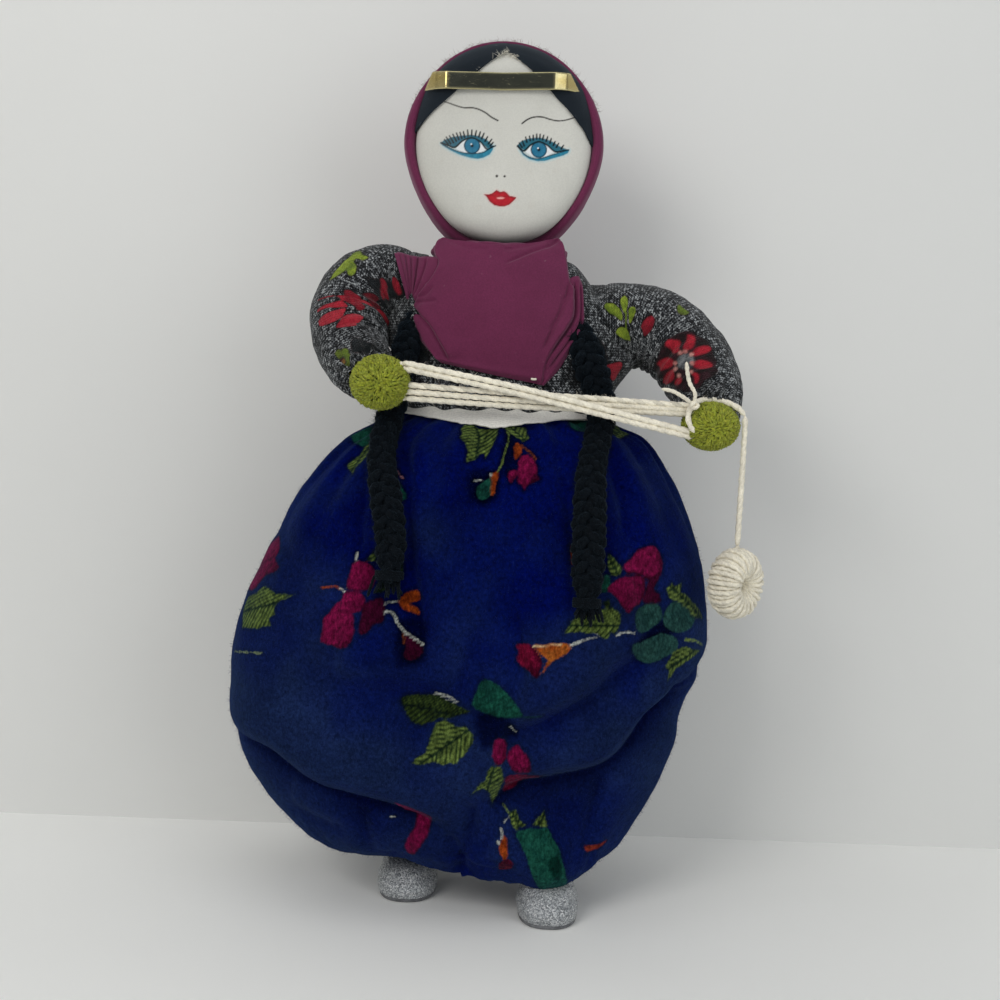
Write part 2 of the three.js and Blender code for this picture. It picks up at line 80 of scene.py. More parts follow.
def at_depth(px, py, y):
    """Doll point at depth y that shows at picture place (px, py)."""
    d = FWD * CAM_F + RIGHT * (px - 500) - UP * (py - 500)
    return CAM_C + d * ((y - CAM_C[1]) / d[1])


scene = bpy.context.scene
cam_data = bpy.data.cameras.new("camera")
cam_data.lens = 50
cam_data.sensor_width = 36
cam = bpy.data.objects.new("camera", cam_data)
scene.collection.objects.link(cam)
cam.matrix_world = Matrix.Translation(Vector(Wt(CAM_C))) @ Matrix((
    (RIGHT[0], UP[0], -FWD[0], 0), (RIGHT[1], UP[1], -FWD[1], 0), (RIGHT[2], UP[2], -FWD[2], 0), (0, 0, 0, 1)))
cam_data.clip_start, cam_data.clip_end = 0.01, 50
scene.camera = cam
scene.view_settings.view_transform = "Standard"
scene.view_settings.look = "None"


# ------------------------------------------------------------------ numbers
def smoothstep(a, b, x):
    t = np.clip((np.asarray(x, float) - a) / (b - a), 0, 1)
    return t * t * (3 - 2 * t)


def _hash(ix, iy, iz, seed):
    h = (ix * 374761393 + iy * 668265263 + iz * 1442695041 + seed * 974634777) & 0xFFFFFFFF
    h = ((h ^ (h >> 13)) * 1274126177) & 0xFFFFFFFF
    h = h ^ (h >> 16)
    return (h & 0xFFFFFF) / float(0xFFFFFF)


def vnoise(p, seed=0):
    """Smooth noise from -1 to 1 at points p (..., 2 or 3)."""
    p = np.asarray(p, float)
    if p.shape[-1] == 2:
        p = np.concatenate([p, np.full(p.shape[:-1] + (1,), 0.37)], -1)
    i = np.floor(p).astype(np.int64)
    f = p - i
    u = f * f * f * (f * (f * 6 - 15) + 10)
    out = np.zeros(p.shape[:-1])
    for dx in (0, 1):
        wx = u[..., 0] if dx else 1 - u[..., 0]
        for dy in (0, 1):
            wy = u[..., 1] if dy else 1 - u[..., 1]
            for dz in (0, 1):
                wz = u[..., 2] if dz else 1 - u[..., 2]
                out += wx * wy * wz * _hash(i[..., 0] + dx, i[..., 1] + dy, i[..., 2] + dz, seed)
    return out * 2 - 1


def fbm(p, octaves=3, seed=0):
    p = np.asarray(p, float)
    out, amp = 0, 1.0
    for k in range(octaves):
        out = out + amp * vnoise(p * 2 ** k, seed + 17 * k)
        amp *= 0.5
    return out / (2 - 0.5 ** (octaves - 1))


def pchip(xs, ys, x):
    """Shape-preserving cubic through a table."""
    xs, ys = np.asarray(xs, float), np.asarray(ys, float)
    if xs[0] > xs[-1]:
        xs, ys = xs[::-1], ys[::-1]
    h = np.diff(xs)
    d = np.diff(ys) / h
    m = np.zeros_like(ys)
    m[0], m[-1] = d[0], d[-1]
    for i in range(1, len(xs) - 1):
        if d[i - 1] * d[i] > 0:
            w1, w2 = 2 * h[i] + h[i - 1], h[i] + 2 * h[i - 1]
            m[i] = (w1 + w2) / (w1 / d[i - 1] + w2 / d[i])
    x = np.clip(np.asarray(x, float), xs[0], xs[-1])
    i = np.clip(np.searchsorted(xs, x) - 1, 0, len(xs) - 2)
    t = (x - xs[i]) / h[i]
    return (ys[i] * (1 + 2 * t) * (1 - t) ** 2 + ys[i + 1] * t * t * (3 - 2 * t)
            + h[i] * (m[i] * t * (1 - t) ** 2 - m[i + 1] * t * t * (1 - t)))


def curve(pts, n):
    """n points, evenly spaced, on a smooth curve through pts (columns past xyz are carried along)."""
    pts = np.asarray(pts, float)
    k = len(pts)
    ext = np.vstack([2 * pts[0] - pts[1], pts, 2 * pts[-1] - pts[-2]])
    t = np.linspace(0, k - 1, max(60 * k, 4 * n))
    i = np.minimum(t.astype(int), k - 2)
    f = (t - i)[:, None]
    p0, p1, p2, p3 = ext[i], ext[i + 1], ext[i + 2], ext[i + 3]
    c = 0.5 * (2 * p1 + (p2 - p0) * f + (2 * p0 - 5 * p1 + 4 * p2 - p3) * f ** 2 + (3 * p1 - p0 - 3 * p2 + p3) * f ** 3)
    d = min(3, c.shape[1])
    s = np.concatenate([[0], np.cumsum(np.linalg.norm(np.diff(c[:, :d], axis=0), axis=1))])
    u = np.linspace(0, s[-1], n)
    return np.stack([np.interp(u, s, c[:, q]) for q in range(c.shape[1])], 1)


def length_of(c):
    return float(np.linalg.norm(np.diff(np.asarray(c)[:, :3], axis=0), axis=1).sum())


def unit(v):
    return v / np.maximum(np.linalg.norm(v, axis=-1, keepdims=True), 1e-12)


def transport(c):
    """Tangents and a pair of normals that don't twist along a curve."""
    t = unit(np.gradient(c[:, :3], axis=0))
    n = np.zeros_like(t)
    a = np.array([0, 0, 1.0]) if abs(t[0, 2]) < 0.8 else np.array([0, -1.0, 0])
    n[0] = unit(np.cross(np.cross(t[0], a), t[0]))
    for i in range(1, len(t)):
        v = n[i - 1] - t[i] * (n[i - 1] @ t[i])
        n[i] = v / max(np.linalg.norm(v), 1e-9)
    return t, n, np.cross(t, n)


def poly_sd(p, poly):
    """Signed distance to a closed outline, negative inside."""
    poly = np.asarray(poly, float)
    d = np.full(len(p), 1e18)
    inside = np.zeros(len(p), bool)
    for i in range(len(poly)):
        a, b = poly[i], poly[(i + 1) % len(poly)]
        e, w = b - a, p - a
        t = np.clip((w @ e) / max(e @ e, 1e-12), 0, 1)
        d = np.minimum(d, ((w - t[:, None] * e) ** 2).sum(1))
        c1, c2 = p[:, 1] >= a[1], p[:, 1] < b[1]
        cr = e[0] * w[:, 1] - e[1] * w[:, 0]
        inside ^= (c1 & c2 & (cr > 0)) | (~c1 & ~c2 & (cr < 0))
    return np.sqrt(d) * np.where(inside, -1, 1)


def line_dist(p, pts):
    """Distance to an open line, side of it (+1 to its left when y runs down) and place along it."""
    pts = np.asarray(pts, float)
    seg = np.linalg.norm(np.diff(pts, axis=0), axis=1)
    run = np.concatenate([[0], np.cumsum(seg)])
    best = np.full(len(p), 1e18)
    side = np.zeros(len(p))
    where = np.zeros(len(p))
    for i in range(len(pts) - 1):
        a, e = pts[i], pts[i + 1] - pts[i]
        w = p - a
        t = np.clip((w @ e) / max(e @ e, 1e-12), 0, 1)
        q = ((w - t[:, None] * e) ** 2).sum(1)
        s = np.sign(w[:, 0] * e[1] - w[:, 1] * e[0])
        m = q < best
        best[m], side[m] = q[m], s[m]
        where[m] = (run[i] + t[m] * seg[i]) / run[-1]
    return np.sqrt(best), side, where


def lin(h):
    """Linear colour of a hex string."""
    v = np.array([int(h[i:i + 2], 16) for i in (1, 3, 5)]) / 255.0
    return np.where(v <= 0.04045, v / 12.92, ((v + 0.055) / 1.055) ** 2.4)


# ------------------------------------------------------------------- meshes
def build(name, v, f, mat, color=None, loop_uv=None, smooth=True):
    """Mesh object from doll points, faces, and optional point colours and corner UVs."""
    me = bpy.data.meshes.new(name)
    f = [tuple(int(i) for i in q) for q in f] if not isinstance(f, np.ndarray) else f.tolist()
    me.from_pydata(W(v).tolist(), [], f)
    if loop_uv is not None:
        layer = me.uv_layers.new(name="UVMap")
        layer.data.foreach_set("uv", np.asarray(loop_uv, np.float32).ravel())
    if color is not None:
        c = np.ones((len(v), 4), np.float32)
        c[:, :color.shape[1]] = color
        at = me.color_attributes.new("Col", "FLOAT_COLOR", "POINT")
        at.data.foreach_set("color", c.ravel())
    me.polygons.foreach_set("use_smooth", np.full(len(me.polygons), smooth))
    me.update()
    ob = bpy.data.objects.new(name, me)
    scene.collection.objects.link(ob)
    if mat is not None:
        me.materials.append(mat)
    return ob


def grid_faces(nv, nu, wrap=False, flip=False):
    i = np.arange(nv * nu).reshape(nv, nu)
    r = np.roll(i, -1, 1)
    a, b, c, d = i[:-1], r[:-1], r[1:], i[1:]
    if not wrap:
        a, b, c, d = a[:, :-1], b[:, :-1], c[:, :-1], d[:, :-1]
    f = np.stack([a, b, c, d], -1).reshape(-1, 4)
    return f[:, ::-1] if flip else f


def grid_uv(p, wrap, flip):
    """Corner UVs in millimetres of cloth, measured along the rows and columns of a grid."""
    nv, nu, _ = p.shape
    q = np.concatenate([p, p[:, :1]], 1) if wrap else p
    du = np.linalg.norm(np.diff(q, axis=1), axis=2)
    u = np.concatenate([np.zeros((nv, 1)), np.cumsum(du, 1)], 1)
    u = u - u[:, [u.shape[1] // 2]]
    dv = np.linalg.norm(np.diff(q, axis=0), axis=2).mean(1)
    v = np.concatenate([[0], np.cumsum(dv)])[:, None] + np.zeros_like(u)
    uv = np.stack([u, v], -1)
    i = np.arange(uv.shape[0] * uv.shape[1]).reshape(uv.shape[:2])
    f = np.stack([i[:-1, :-1], i[:-1, 1:], i[1:, 1:], i[1:, :-1]], -1).reshape(-1, 4)
    if flip:
        f = f[:, ::-1]
    return uv.reshape(-1, 2)[f.ravel()]


def grid_object(name, p, mat, wrap=False, flip=False, color=None):
    nv, nu, _ = p.shape
    return build(name, p.reshape(-1, 3), grid_faces(nv, nu, wrap, flip), mat, color, grid_uv(p, wrap, flip))


def grid_normals(p, wrap=False, flip=False):
    if wrap:
        du = np.roll(p, -1, 1) - np.roll(p, 1, 1)
    else:
        du = np.gradient(p, axis=1)
    dv = np.gradient(p, axis=0)
    n = unit(np.cross(du, dv))
    return n if flip else -n


def thicken(ob, mm, offset=-1.0):
    m = ob.modifiers.new("thickness", "SOLIDIFY")
    m.thickness = mm * 0.001
    m.offset = offset
    m.use_rim = True
    return ob


class Pile:
    """Collects many small meshes into one."""

    def __init__(self):
        self.v, self.f, self.c, self.n = [], [], [], 0

    def add(self, v, f, shade=1.0):
        self.v.append(v)
        self.f.extend((np.asarray(q) + self.n).tolist() for q in f)
        s = np.asarray(shade, float)
        if s.ndim == 0:
            s = np.full(3, float(s))
        if s.ndim == 1:
            s = np.tile(s, (len(v), 1))
        self.c.append(s)
        self.n += len(v)

    def object(self, name, mat):
        return build(name, np.vstack(self.v), self.f, mat, np.vstack(self.c))


def tube(c, r, sides=8, close=True, roll=0.0):
    """Round tube along c (n, 3) with radius r (n)."""
    c = np.asarray(c, float)
    r = np.broadcast_to(np.asarray(r, float), (len(c),))
    t, n, b = transport(c)
    a = np.linspace(0, 2 * np.pi, sides, endpoint=False) + roll
    v = c[:, None] + r[:, None, None] * (np.cos(a)[None, :, None] * n[:, None] + np.sin(a)[None, :, None] * b[:, None])
    m = len(c)
    f = grid_faces(m, sides, True, False).tolist()
    v = v.reshape(-1, 3)
    if close:
        v = np.vstack([v, c[0] - t[0] * r[0] * 0.5, c[-1] + t[-1] * r[-1] * 0.5])
        k = m * sides
        for j in range(sides):
            f.append([(j + 1) % sides, j, k])
            f.append([(m - 1) * sides + j, (m - 1) * sides + (j + 1) % sides, k + 1])
    return v, f


def yarn(pile, c, radius, pitch=3.6, plies=2, sides=6, per_turn=8, seed=0, phase=0.0, shade=1.0, taper=False):
    """Twisted yarn of several plies round the centreline c."""
    total = length_of(c)
    n = max(int(total / pitch * per_turn), 6)
    c = curve(c, n) if len(c) != n else c
    t, nn, bb = transport(c)
    s = np.linspace(0, total, n)
    rng = np.random.default_rng(seed)
    wob = 1 + 0.06 * fbm(np.stack([s / 4.0, s * 0 + seed * 3.1], -1), 2, seed)
    end = np.ones(n)
    if taper:
        end = np.clip(np.minimum(s, total - s) / (radius * 1.5) + 0.25, 0, 1)
    for k in range(plies):
        ph = phase + 2 * np.pi * (s / pitch + k / plies)
        off = radius * (0.22 if plies == 2 else 0.44) * end
        core = c + off[:, None] * (np.cos(ph)[:, None] * nn + np.sin(ph)[:, None] * bb)
        v, f = tube(core, radius * (0.80 if plies == 2 else 0.56) * wob * end, sides)
        pile.add(v, f, shade * (1 + 0.05 * rng.standard_normal()))


def fuzz(pile, points, normals, count, reach, radius, seed, shade=1.0, curl=0.6, droop=0.0):
    """Loose fibres standing out of a surface."""
    rng = np.random.default_rng(seed)
    pick = rng.integers(0, len(points), count)
    p, n = points[pick], normals[pick]
    side = unit(np.cross(n, rng.standard_normal((count, 3))))
    ln = reach * (0.35 + 0.65 * rng.random(count))
    bend = curl * (rng.random(count) - 0.2)
    for i in range(count):
        q = np.linspace(0, 1, 4)[:, None]
        c = p[i] - n[i] * radius + ln[i] * (q * n[i] * (1 - 0.4 * q * bend[i]) + side[i] * q * q * bend[i])
        c[:, 2] -= droop * (q[:, 0] ** 2) * ln[i]
        v, f = tube(c, np.array([1, 0.9, 0.7, 0.25]) * radius, 3, False)
        pile.add(v, f, shade)


# ---------------------------------------------------------------- materials
class Nodes:
    """Small helper to write node materials."""

    def __init__(self, name):
        self.mat = bpy.data.materials.new(name)
        self.mat.use_nodes = True
        self.t = self.mat.node_tree
        self.b = self.t.nodes["Principled BSDF"]

    def n(self, kind, **kw):
        node = self.t.nodes.new(kind)
        for k, v in kw.items():
            setattr(node, k, v)
        return node

    def link(self, a, b):
        self.t.links.new(a, b)

    def coord(self, which="Object"):
        return self.n("ShaderNodeTexCoord").outputs[which]

    def noise(self, vec, scale, detail=3.0, rough=0.55, distort=0.0):
        x = self.n("ShaderNodeTexNoise")
        self.link(vec, x.inputs["Vector"])
        x.inputs["Scale"].default_value = scale
        x.inputs["Detail"].default_value = detail
        x.inputs["Roughness"].default_value = rough
        x.inputs["Distortion"].default_value = distort
        return x.outputs["Fac"]

    def voronoi(self, vec, scale, out="Distance", feature="F1", rand=1.0):
        x = self.n("ShaderNodeTexVoronoi", feature=feature)
        self.link(vec, x.inputs["Vector"])
        x.inputs["Scale"].default_value = scale
        x.inputs["Randomness"].default_value = rand
        return x.outputs[out]

    def scaled(self, vec, s):
        m = self.n("ShaderNodeMapping")
        self.link(vec, m.inputs["Vector"])
        m.inputs["Scale"].default_value = s
        return m.outputs["Vector"]

    def math(self, op, a, b=None, clamp=False):
        x = self.n("ShaderNodeMath", operation=op, use_clamp=clamp)
        for i, v in enumerate((a, b)):
            if v is None:
                continue
            if isinstance(v, (int, float)):
                x.inputs[i].default_value = v
            else:
                self.link(v, x.inputs[i])
        return x.outputs[0]

    def ramp(self, fac, stops, mode="LINEAR"):
        x = self.n("ShaderNodeValToRGB")
        self.link(fac, x.inputs["Fac"])
        r = x.color_ramp
        r.interpolation = mode
        while len(r.elements) < len(stops):
            r.elements.new(0.5)
        for e, (p, c) in zip(r.elements, stops):
            e.position = p
            e.color = (*[float(k) for k in c], 1) if not isinstance(c, (int, float)) else (c, c, c, 1)
        return x.outputs["Color"]

    def mix(self, a, b, fac, blend="MIX"):
        x = self.n("ShaderNodeMix", data_type="RGBA", blend_type=blend)
        for sock, v in ((x.inputs[6], a), (x.inputs[7], b)):
            if isinstance(v, (tuple, list, np.ndarray)):
                sock.default_value = (*[float(k) for k in v][:3], 1)
            else:
                self.link(v, sock)
        if isinstance(fac, (int, float)):
            x.inputs[0].default_value = fac
        else:
            self.link(fac, x.inputs[0])
        return x.outputs[2]

    def attr(self, name="Col"):
        x = self.n("ShaderNodeAttribute", attribute_name=name)
        return x

    def bump(self, height, mm, strength=1.0, after=None):
        x = self.n("ShaderNodeBump")
        self.link(height, x.inputs["Height"])
        x.inputs["Distance"].default_value = mm * 0.001
        x.inputs["Strength"].default_value = strength
        if after is not None:
            self.link(after, x.inputs["Normal"])
        return x.outputs["Normal"]

    def weave(self, pitch, wobble=0.15):
        """Plain weave height from the cloth's own UVs (millimetres)."""
        uv = self.coord("UV")
        wob = self.n("ShaderNodeTexNoise")
        self.link(uv, wob.inputs["Vector"])
        wob.inputs["Scale"].default_value = 0.35 / pitch
        add = self.n("ShaderNodeVectorMath", operation="MULTIPLY_ADD")
        self.link(wob.outputs["Color"], add.inputs[0])
        add.inputs[1].default_value = (wobble * 4, wobble * 4, 0)
        self.link(uv, add.inputs[2])
        sep = self.n("ShaderNodeSeparateXYZ")
        self.link(add.outputs[0], sep.inputs[0])
        k = 2 * math.pi / pitch
        su = self.math("SINE", self.math("MULTIPLY", sep.outputs[0], k / 2))
        sv = self.math("SINE", self.math("MULTIPLY", sep.outputs[1], k / 2))
        prod = self.math("MULTIPLY", su, sv)
        cu = self.math("ABSOLUTE", su)
        cv = self.math("ABSOLUTE", sv)
        over = self.math("MULTIPLY", self.math("ADD", self.math("MULTIPLY", prod, 0.5), 0.5), cu)
        under = self.math("MULTIPLY", self.math("SUBTRACT", 0.5, self.math("MULTIPLY", prod, 0.5)), cv)
        return self.math("ADD", over, under)

    def done(self, color=None, rough=0.9, normal=None, **sockets):
        if color is not None:
            self.link(color, self.b.inputs["Base Color"])
        if isinstance(rough, (int, float)):
            self.b.inputs["Roughness"].default_value = rough
        else:
            self.link(rough, self.b.inputs["Roughness"])
        if normal is not None:
            self.link(normal, self.b.inputs["Normal"])
        for k, v in sockets.items():
            self.b.inputs[k.replace("_", " ")].default_value = v
        return self.mat


def cotton(name, base, pitch=0.55, weave_mm=0.08, vary=0.16, sheen=0.15, sheen_tint=(1, 1, 1), attr=False, wrinkle=0.0, lint=0.0, grain=0.8):
    """Plain woven cotton. With attr the colour comes from the piece's point colours."""
    m = Nodes(name)
    obj = m.coord()
    w = m.weave(pitch)
    big = m.noise(obj, 38, 4, 0.6)
    fine = m.noise(obj, 1500, 2, 0.6)
    c = m.attr().outputs["Color"] if attr else m.mix(base, base, 0.0)
    c = m.mix(c, m.ramp(big, [(0.3, 1 - vary), (0.7, 1 + vary * 0.35)]), 1.0, "MULTIPLY")
    c = m.mix(c, m.ramp(w, [(0.1, 0.74), (0.75, 1.04)]), grain, "MULTIPLY")
    c = m.mix(c, m.ramp(fine, [(0.35, 0.86), (0.65, 1.06)]), grain, "MULTIPLY")
    if lint:
        spots = m.noise(obj, 420, 1, 0.4)
        c = m.mix(c, (0.75, 0.68, 0.7), m.math("MULTIPLY", m.ramp(spots, [(0.76, 0.0), (0.84, 1.0)]), lint))
    nrm = m.bump(w, weave_mm, 0.7)
    nrm = m.bump(m.noise(obj, 160, 4, 0.6), 0.16, 0.5, nrm)
    if wrinkle:
        nrm = m.bump(m.noise(obj, 45, 3, 0.5, 0.6), wrinkle, 0.6, nrm)
    return m.done(c, 0.92, nrm, Sheen_Weight=sheen, Sheen_Roughness=0.5, Sheen_Tint=(*sheen_tint, 1), Specular_IOR_Level=0.2)


def yarn_mat(name, base, dark=0.55, fibre=900, sheen=0.3, rough=0.95, tint=(1, 1, 1)):
    """Spun yarn: point colour times fibre streaks."""
    m = Nodes(name)
    obj = m.coord()
    fine = m.noise(obj, fibre, 4, 0.65)
    mid = m.noise(obj, 190, 3, 0.55)
    c = m.mix(m.attr().outputs["Color"], base, 1.0, "MULTIPLY")
    c = m.mix(c, m.ramp(fine, [(0.28, dark), (0.68, 1.12)]), 1.0, "MULTIPLY")
    c = m.mix(c, m.ramp(mid, [(0.3, 0.86), (0.7, 1.06)]), 1.0, "MULTIPLY")
    nrm = m.bump(fine, 0.22, 0.9)
    return m.done(c, rough, nrm, Sheen_Weight=sheen, Sheen_Roughness=0.45, Sheen_Tint=(*tint, 1), Specular_IOR_Level=0.15)


PLUM = lin("#6d2f50")
BLUE = np.array([0.0004, 0.0031, 0.069])
MAT_PLUM = cotton("plum cotton", PLUM * np.array([0.97, 0.8, 0.86]), 0.5, 0.05, 0.14, 0.2, (0.9, 0.62, 0.78), wrinkle=0.25, lint=0.07)
MAT_FACE = cotton("face cotton", lin("#e3e1d9"), 0.42, 0.02, 0.05, 0.1, attr=True, grain=0.35)
MAT_WHITE = cotton("white cotton", lin("#efece4"), 0.6, 0.1, 0.12, 0.1, wrinkle=0.3)
MAT_HAIR = cotton("black cotton", lin("#182028"), 0.45, 0.05, 0.2, 0.12, (0.5, 0.6, 0.7), lint=0.1)
MAT_CREAM = yarn_mat("cream yarn", lin("#f3ecd9"), 0.84, 1300, 0.25)
MAT_GREEN = yarn_mat("green yarn", lin("#a0a83a"), 0.42, 1300, 0.2, tint=(0.9, 1, 0.5))
MAT_BLACK = yarn_mat("black yarn", lin("#070e15"), 0.45, 800, 0.1, tint=(0.3, 0.5, 0.7))


def knit_material():
    """Salt-and-pepper knit; point colours hold the print and alpha how deep inside a motif a point is."""
    m = Nodes("printed knit")
    obj = m.coord()
    sq = m.scaled(obj, (1.0, 1.0, 0.6))
    cell = m.voronoi(sq, 1250, "Color")
    sep = m.n("ShaderNodeSeparateColor")
    m.link(cell, sep.inputs[0])
    grain = m.noise(obj, 520, 3, 0.7)
    # V stitches in columns, from the cloth's own measure
    uv = m.n("ShaderNodeSeparateXYZ")
    m.link(m.coord("UV"), uv.inputs[0])
    col = m.math("PINGPONG", uv.outputs[0], 0.62)
    ph = m.math("ADD", m.math("MULTIPLY", uv.outputs[1], 2 * math.pi / 1.25), m.math("MULTIPLY", col, 5.2))
    stitch = m.math("ADD", m.math("MULTIPLY", m.math("SINE", ph), 0.5), 0.5)
    pick = m.math("ADD", m.math("MULTIPLY", sep.outputs[0], 0.4), m.math("MULTIPLY", grain, 0.5))
    pick = m.math("ADD", pick, m.math("MULTIPLY", stitch, 0.24))
    speck = m.ramp(pick, [(0.36, lin("#060709")), (0.53, lin("#1c1f22")), (0.67, lin("#4c4f52")), (0.84, lin("#a2a5a6"))])
    patch = m.ramp(m.noise(obj, 60, 3, 0.55), [(0.34, 0.6), (0.62, 1.12)])
    speck = m.mix(speck, patch, 1.0, "MULTIPLY")
    at = m.attr()
    loops = m.voronoi(sq, 1250, "Distance")
    printed = m.mix(at.outputs["Color"], m.ramp(pick, [(0.3, 0.68), (0.78, 1.14)]), 1.0, "MULTIPLY")
    frayed = m.math("ADD", at.outputs["Alpha"], m.math("MULTIPLY", m.math("SUBTRACT", m.noise(obj, 1100, 3, 0.6), 0.5), 0.12))
    mask = m.ramp(frayed, [(0.45, 0.0), (0.54, 1.0)])
    halo = m.ramp(at.outputs["Alpha"], [(0.34, (1.0, 1.0, 1.0)), (0.48, (0.30, 0.22, 0.22))])
    c = m.mix(m.mix(speck, halo, 1.0, "MULTIPLY"), printed, mask)
    nrm = m.bump(stitch, 0.28, 0.7)
    nrm = m.bump(m.math("SUBTRACT", 1.0, loops), 0.18, 0.6, nrm)
    nrm = m.bump(m.noise(obj, 1300, 3, 0.6), 0.1, 0.5, nrm)
    return m.done(c, 0.95, nrm, Sheen_Weight=0.12, Sheen_Roughness=0.5, Specular_IOR_Level=0.15)


def blue_material():
    """Napped blue cloth; point colours hold the flower print and alpha how deep inside a motif a point is."""
    m = Nodes("blue print")
    obj = m.coord()
    at = m.attr()
    nap = m.noise(obj, 620, 5, 0.7)
    cloud = m.noise(obj, 28, 4, 0.6)
    fleck = m.noise(m.scaled(obj, (1.0, 1.0, 0.5)), 1700, 3, 0.7)
    ragged = m.math("ADD", m.math("MULTIPLY", m.math("SUBTRACT", m.noise(obj, 900, 3, 0.6), 0.5), 0.2), m.math("MULTIPLY", m.math("SUBTRACT", m.noise(obj, 260, 2, 0.5), 0.5), 0.22))
    frayed = m.math("ADD", at.outputs["Alpha"], ragged)
    mask = m.ramp(frayed, [(0.42, 0.0), (0.56, 1.0)])
    halo = m.ramp(at.outputs["Alpha"], [(0.16, 1.0), (0.46, 0.3)])
    # the ground is darkened by the printed ink beside the motifs and by painted shade down in the folds
    ink = m.math("SUBTRACT", 1.0, m.math("MULTIPLY", m.attr("Ink").outputs["Fac"], 0.85))
    blue = m.mix(m.mix(BLUE, halo, 1.0, "MULTIPLY"), ink, 1.0, "MULTIPLY")
    # painted sheen: paler greyish blue towards the bottom, the sides and along fold tops, with random pale patches
    blue = m.mix(blue, (0.0085, 0.0185, 0.068), m.attr("SheenAndWear").outputs["Fac"])
    # pale fibres lying in the nap
    lint = m.ramp(m.noise(m.scaled(obj, (1.0, 1.0, 0.4)), 1400, 2, 0.6), [(0.6, 0.0), (0.76, 1.0)])
    blue = m.mix(blue, lin("#26345e"), m.math("MULTIPLY", lint, 0.26))
    streak = m.ramp(m.noise(m.scaled(obj, (1.0, 1.0, 0.35)), 1000, 3, 0.65), [(0.32, 0.4), (0.66, 1.2)])
    shown = m.mix(at.outputs["Color"], streak, 0.8, "MULTIPLY")
    c = m.mix(blue, shown, mask)
    c = m.mix(c, m.ramp(cloud, [(0.3, 0.68), (0.7, 1.24)]), 1.0, "MULTIPLY")
    c = m.mix(c, m.ramp(nap, [(0.3, 0.46), (0.68, 1.32)]), 1.0, "MULTIPLY")
    c = m.mix(c, m.ramp(fleck, [(0.35, 0.76), (0.7, 1.2)]), 1.0, "MULTIPLY")
    nrm = m.bump(nap, 0.6, 0.7)
    nrm = m.bump(fleck, 0.2, 0.6, nrm)
    return m.done(c, 0.98, nrm, Sheen_Weight=0.11, Sheen_Roughness=0.46, Sheen_Tint=(0.3, 0.48, 0.8, 1), Specular_IOR_Level=0.0)


def foil_material():
    """Thin gold foil; the tone is in the point colours, with a painted dark reflection where it lies flat and a painted
    bright reflection at its bends.
    """
    m = Nodes("gold foil")
    obj = m.coord()
    dents = m.noise(obj, 55, 2, 0.4)
    fine = m.noise(m.scaled(obj, (0.12, 1, 1)), 2600, 3, 0.6)
    scratch = m.ramp(m.noise(m.scaled(obj, (0.5, 1, 1.6)), 520, 4, 0.75, 1.2), [(0.6, 0.0), (0.68, 1.0)])
    c = m.mix(m.attr().outputs["Color"], m.ramp(fine, [(0.3, 0.86), (0.7, 1.1)]), 1.0, "MULTIPLY")
    c = m.mix(c, lin("#c9bd8c"), m.math("MULTIPLY", scratch, 0.18))
    nrm = m.bump(dents, 0.2, 0.3)
    nrm = m.bump(fine, 0.01, 0.3, nrm)
    r = m.math("ADD", m.math("MULTIPLY", scratch, 0.2), 0.2)
    return m.done(c, r, nrm, Metallic=0.9)


def glitter_material():
    m = Nodes("silver glitter")
    obj = m.coord()
    col = m.voronoi(obj, 2000, "Color")
    sep = m.n("ShaderNodeSeparateColor")
    m.link(col, sep.inputs[0])
    dist = m.voronoi(obj, 2000, "Distance")
    c = m.ramp(sep.outputs[0], [(0.0, lin("#7d8185")), (0.4, lin("#aeb2b5")), (0.75, lin("#d8dbdd")), (1.0, lin("#ffffff"))])
    c = m.mix(c, m.ramp(dist, [(0.0, 1.0), (0.8, 0.6)]), 1.0, "MULTIPLY")
    tilt = m.math("ADD", m.math("MULTIPLY", sep.outputs[1], 0.7), m.math("MULTIPLY", dist, -0.9))
    nrm = m.bump(tilt, 0.3, 0.9)
    r = m.ramp(sep.outputs[2], [(0.0, 0.18), (1.0, 0.55)])
    return m.done(c, r, nrm, Metallic=0.25)


def sole_material():
    m = Nodes("grey sole")
    obj = m.coord()
    a = m.noise(obj, 300, 4, 0.6)
    c = m.ramp(a, [(0.3, lin("#4d4e50")), (0.7, lin("#7a7b7e"))])
    return m.done(c, 0.8, m.bump(m.voronoi(obj, 700), 0.2, 0.6))


MAT_KNIT = knit_material()
MAT_BLUE = blue_material()
MAT_NAP = yarn_mat("blue nap", BLUE * 1.6 + 0.004, 0.7, 1300, 0.1, tint=(0.3, 0.45, 0.8))
MAT_FOIL = foil_material()
MAT_GLITTER = glitter_material()
MAT_SOLE = sole_material()


def carry(ob, body, slot, *nodes):
    """Rides on a body and stands for CAD nodes; slot is not used."""
    if body:
        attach(ob, body)
    if nodes:
        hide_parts(*nodes)
    return ob


def cloth_sheet(ob, p, wrap=False):
    """Works out the flat size that a piece's own surface gives, and keeps nothing of it."""
    q = np.concatenate([p, p[:, :1]], 1) if wrap else p
    a, b, c, d = q[:-1, :-1], q[:-1, 1:], q[1:, 1:], q[1:, :-1]
    area_mm = 0.5 * np.linalg.norm(np.cross(c - a, d - b), axis=-1).sum()
    w = np.linalg.norm(np.diff(q, axis=1), axis=-1).sum(1).max()
    l = np.linalg.norm(np.diff(q, axis=0), axis=-1).sum(0).max()
    l = max(l, area_mm / w * 1.02)
    l = min(l, area_mm / (0.32 * w))


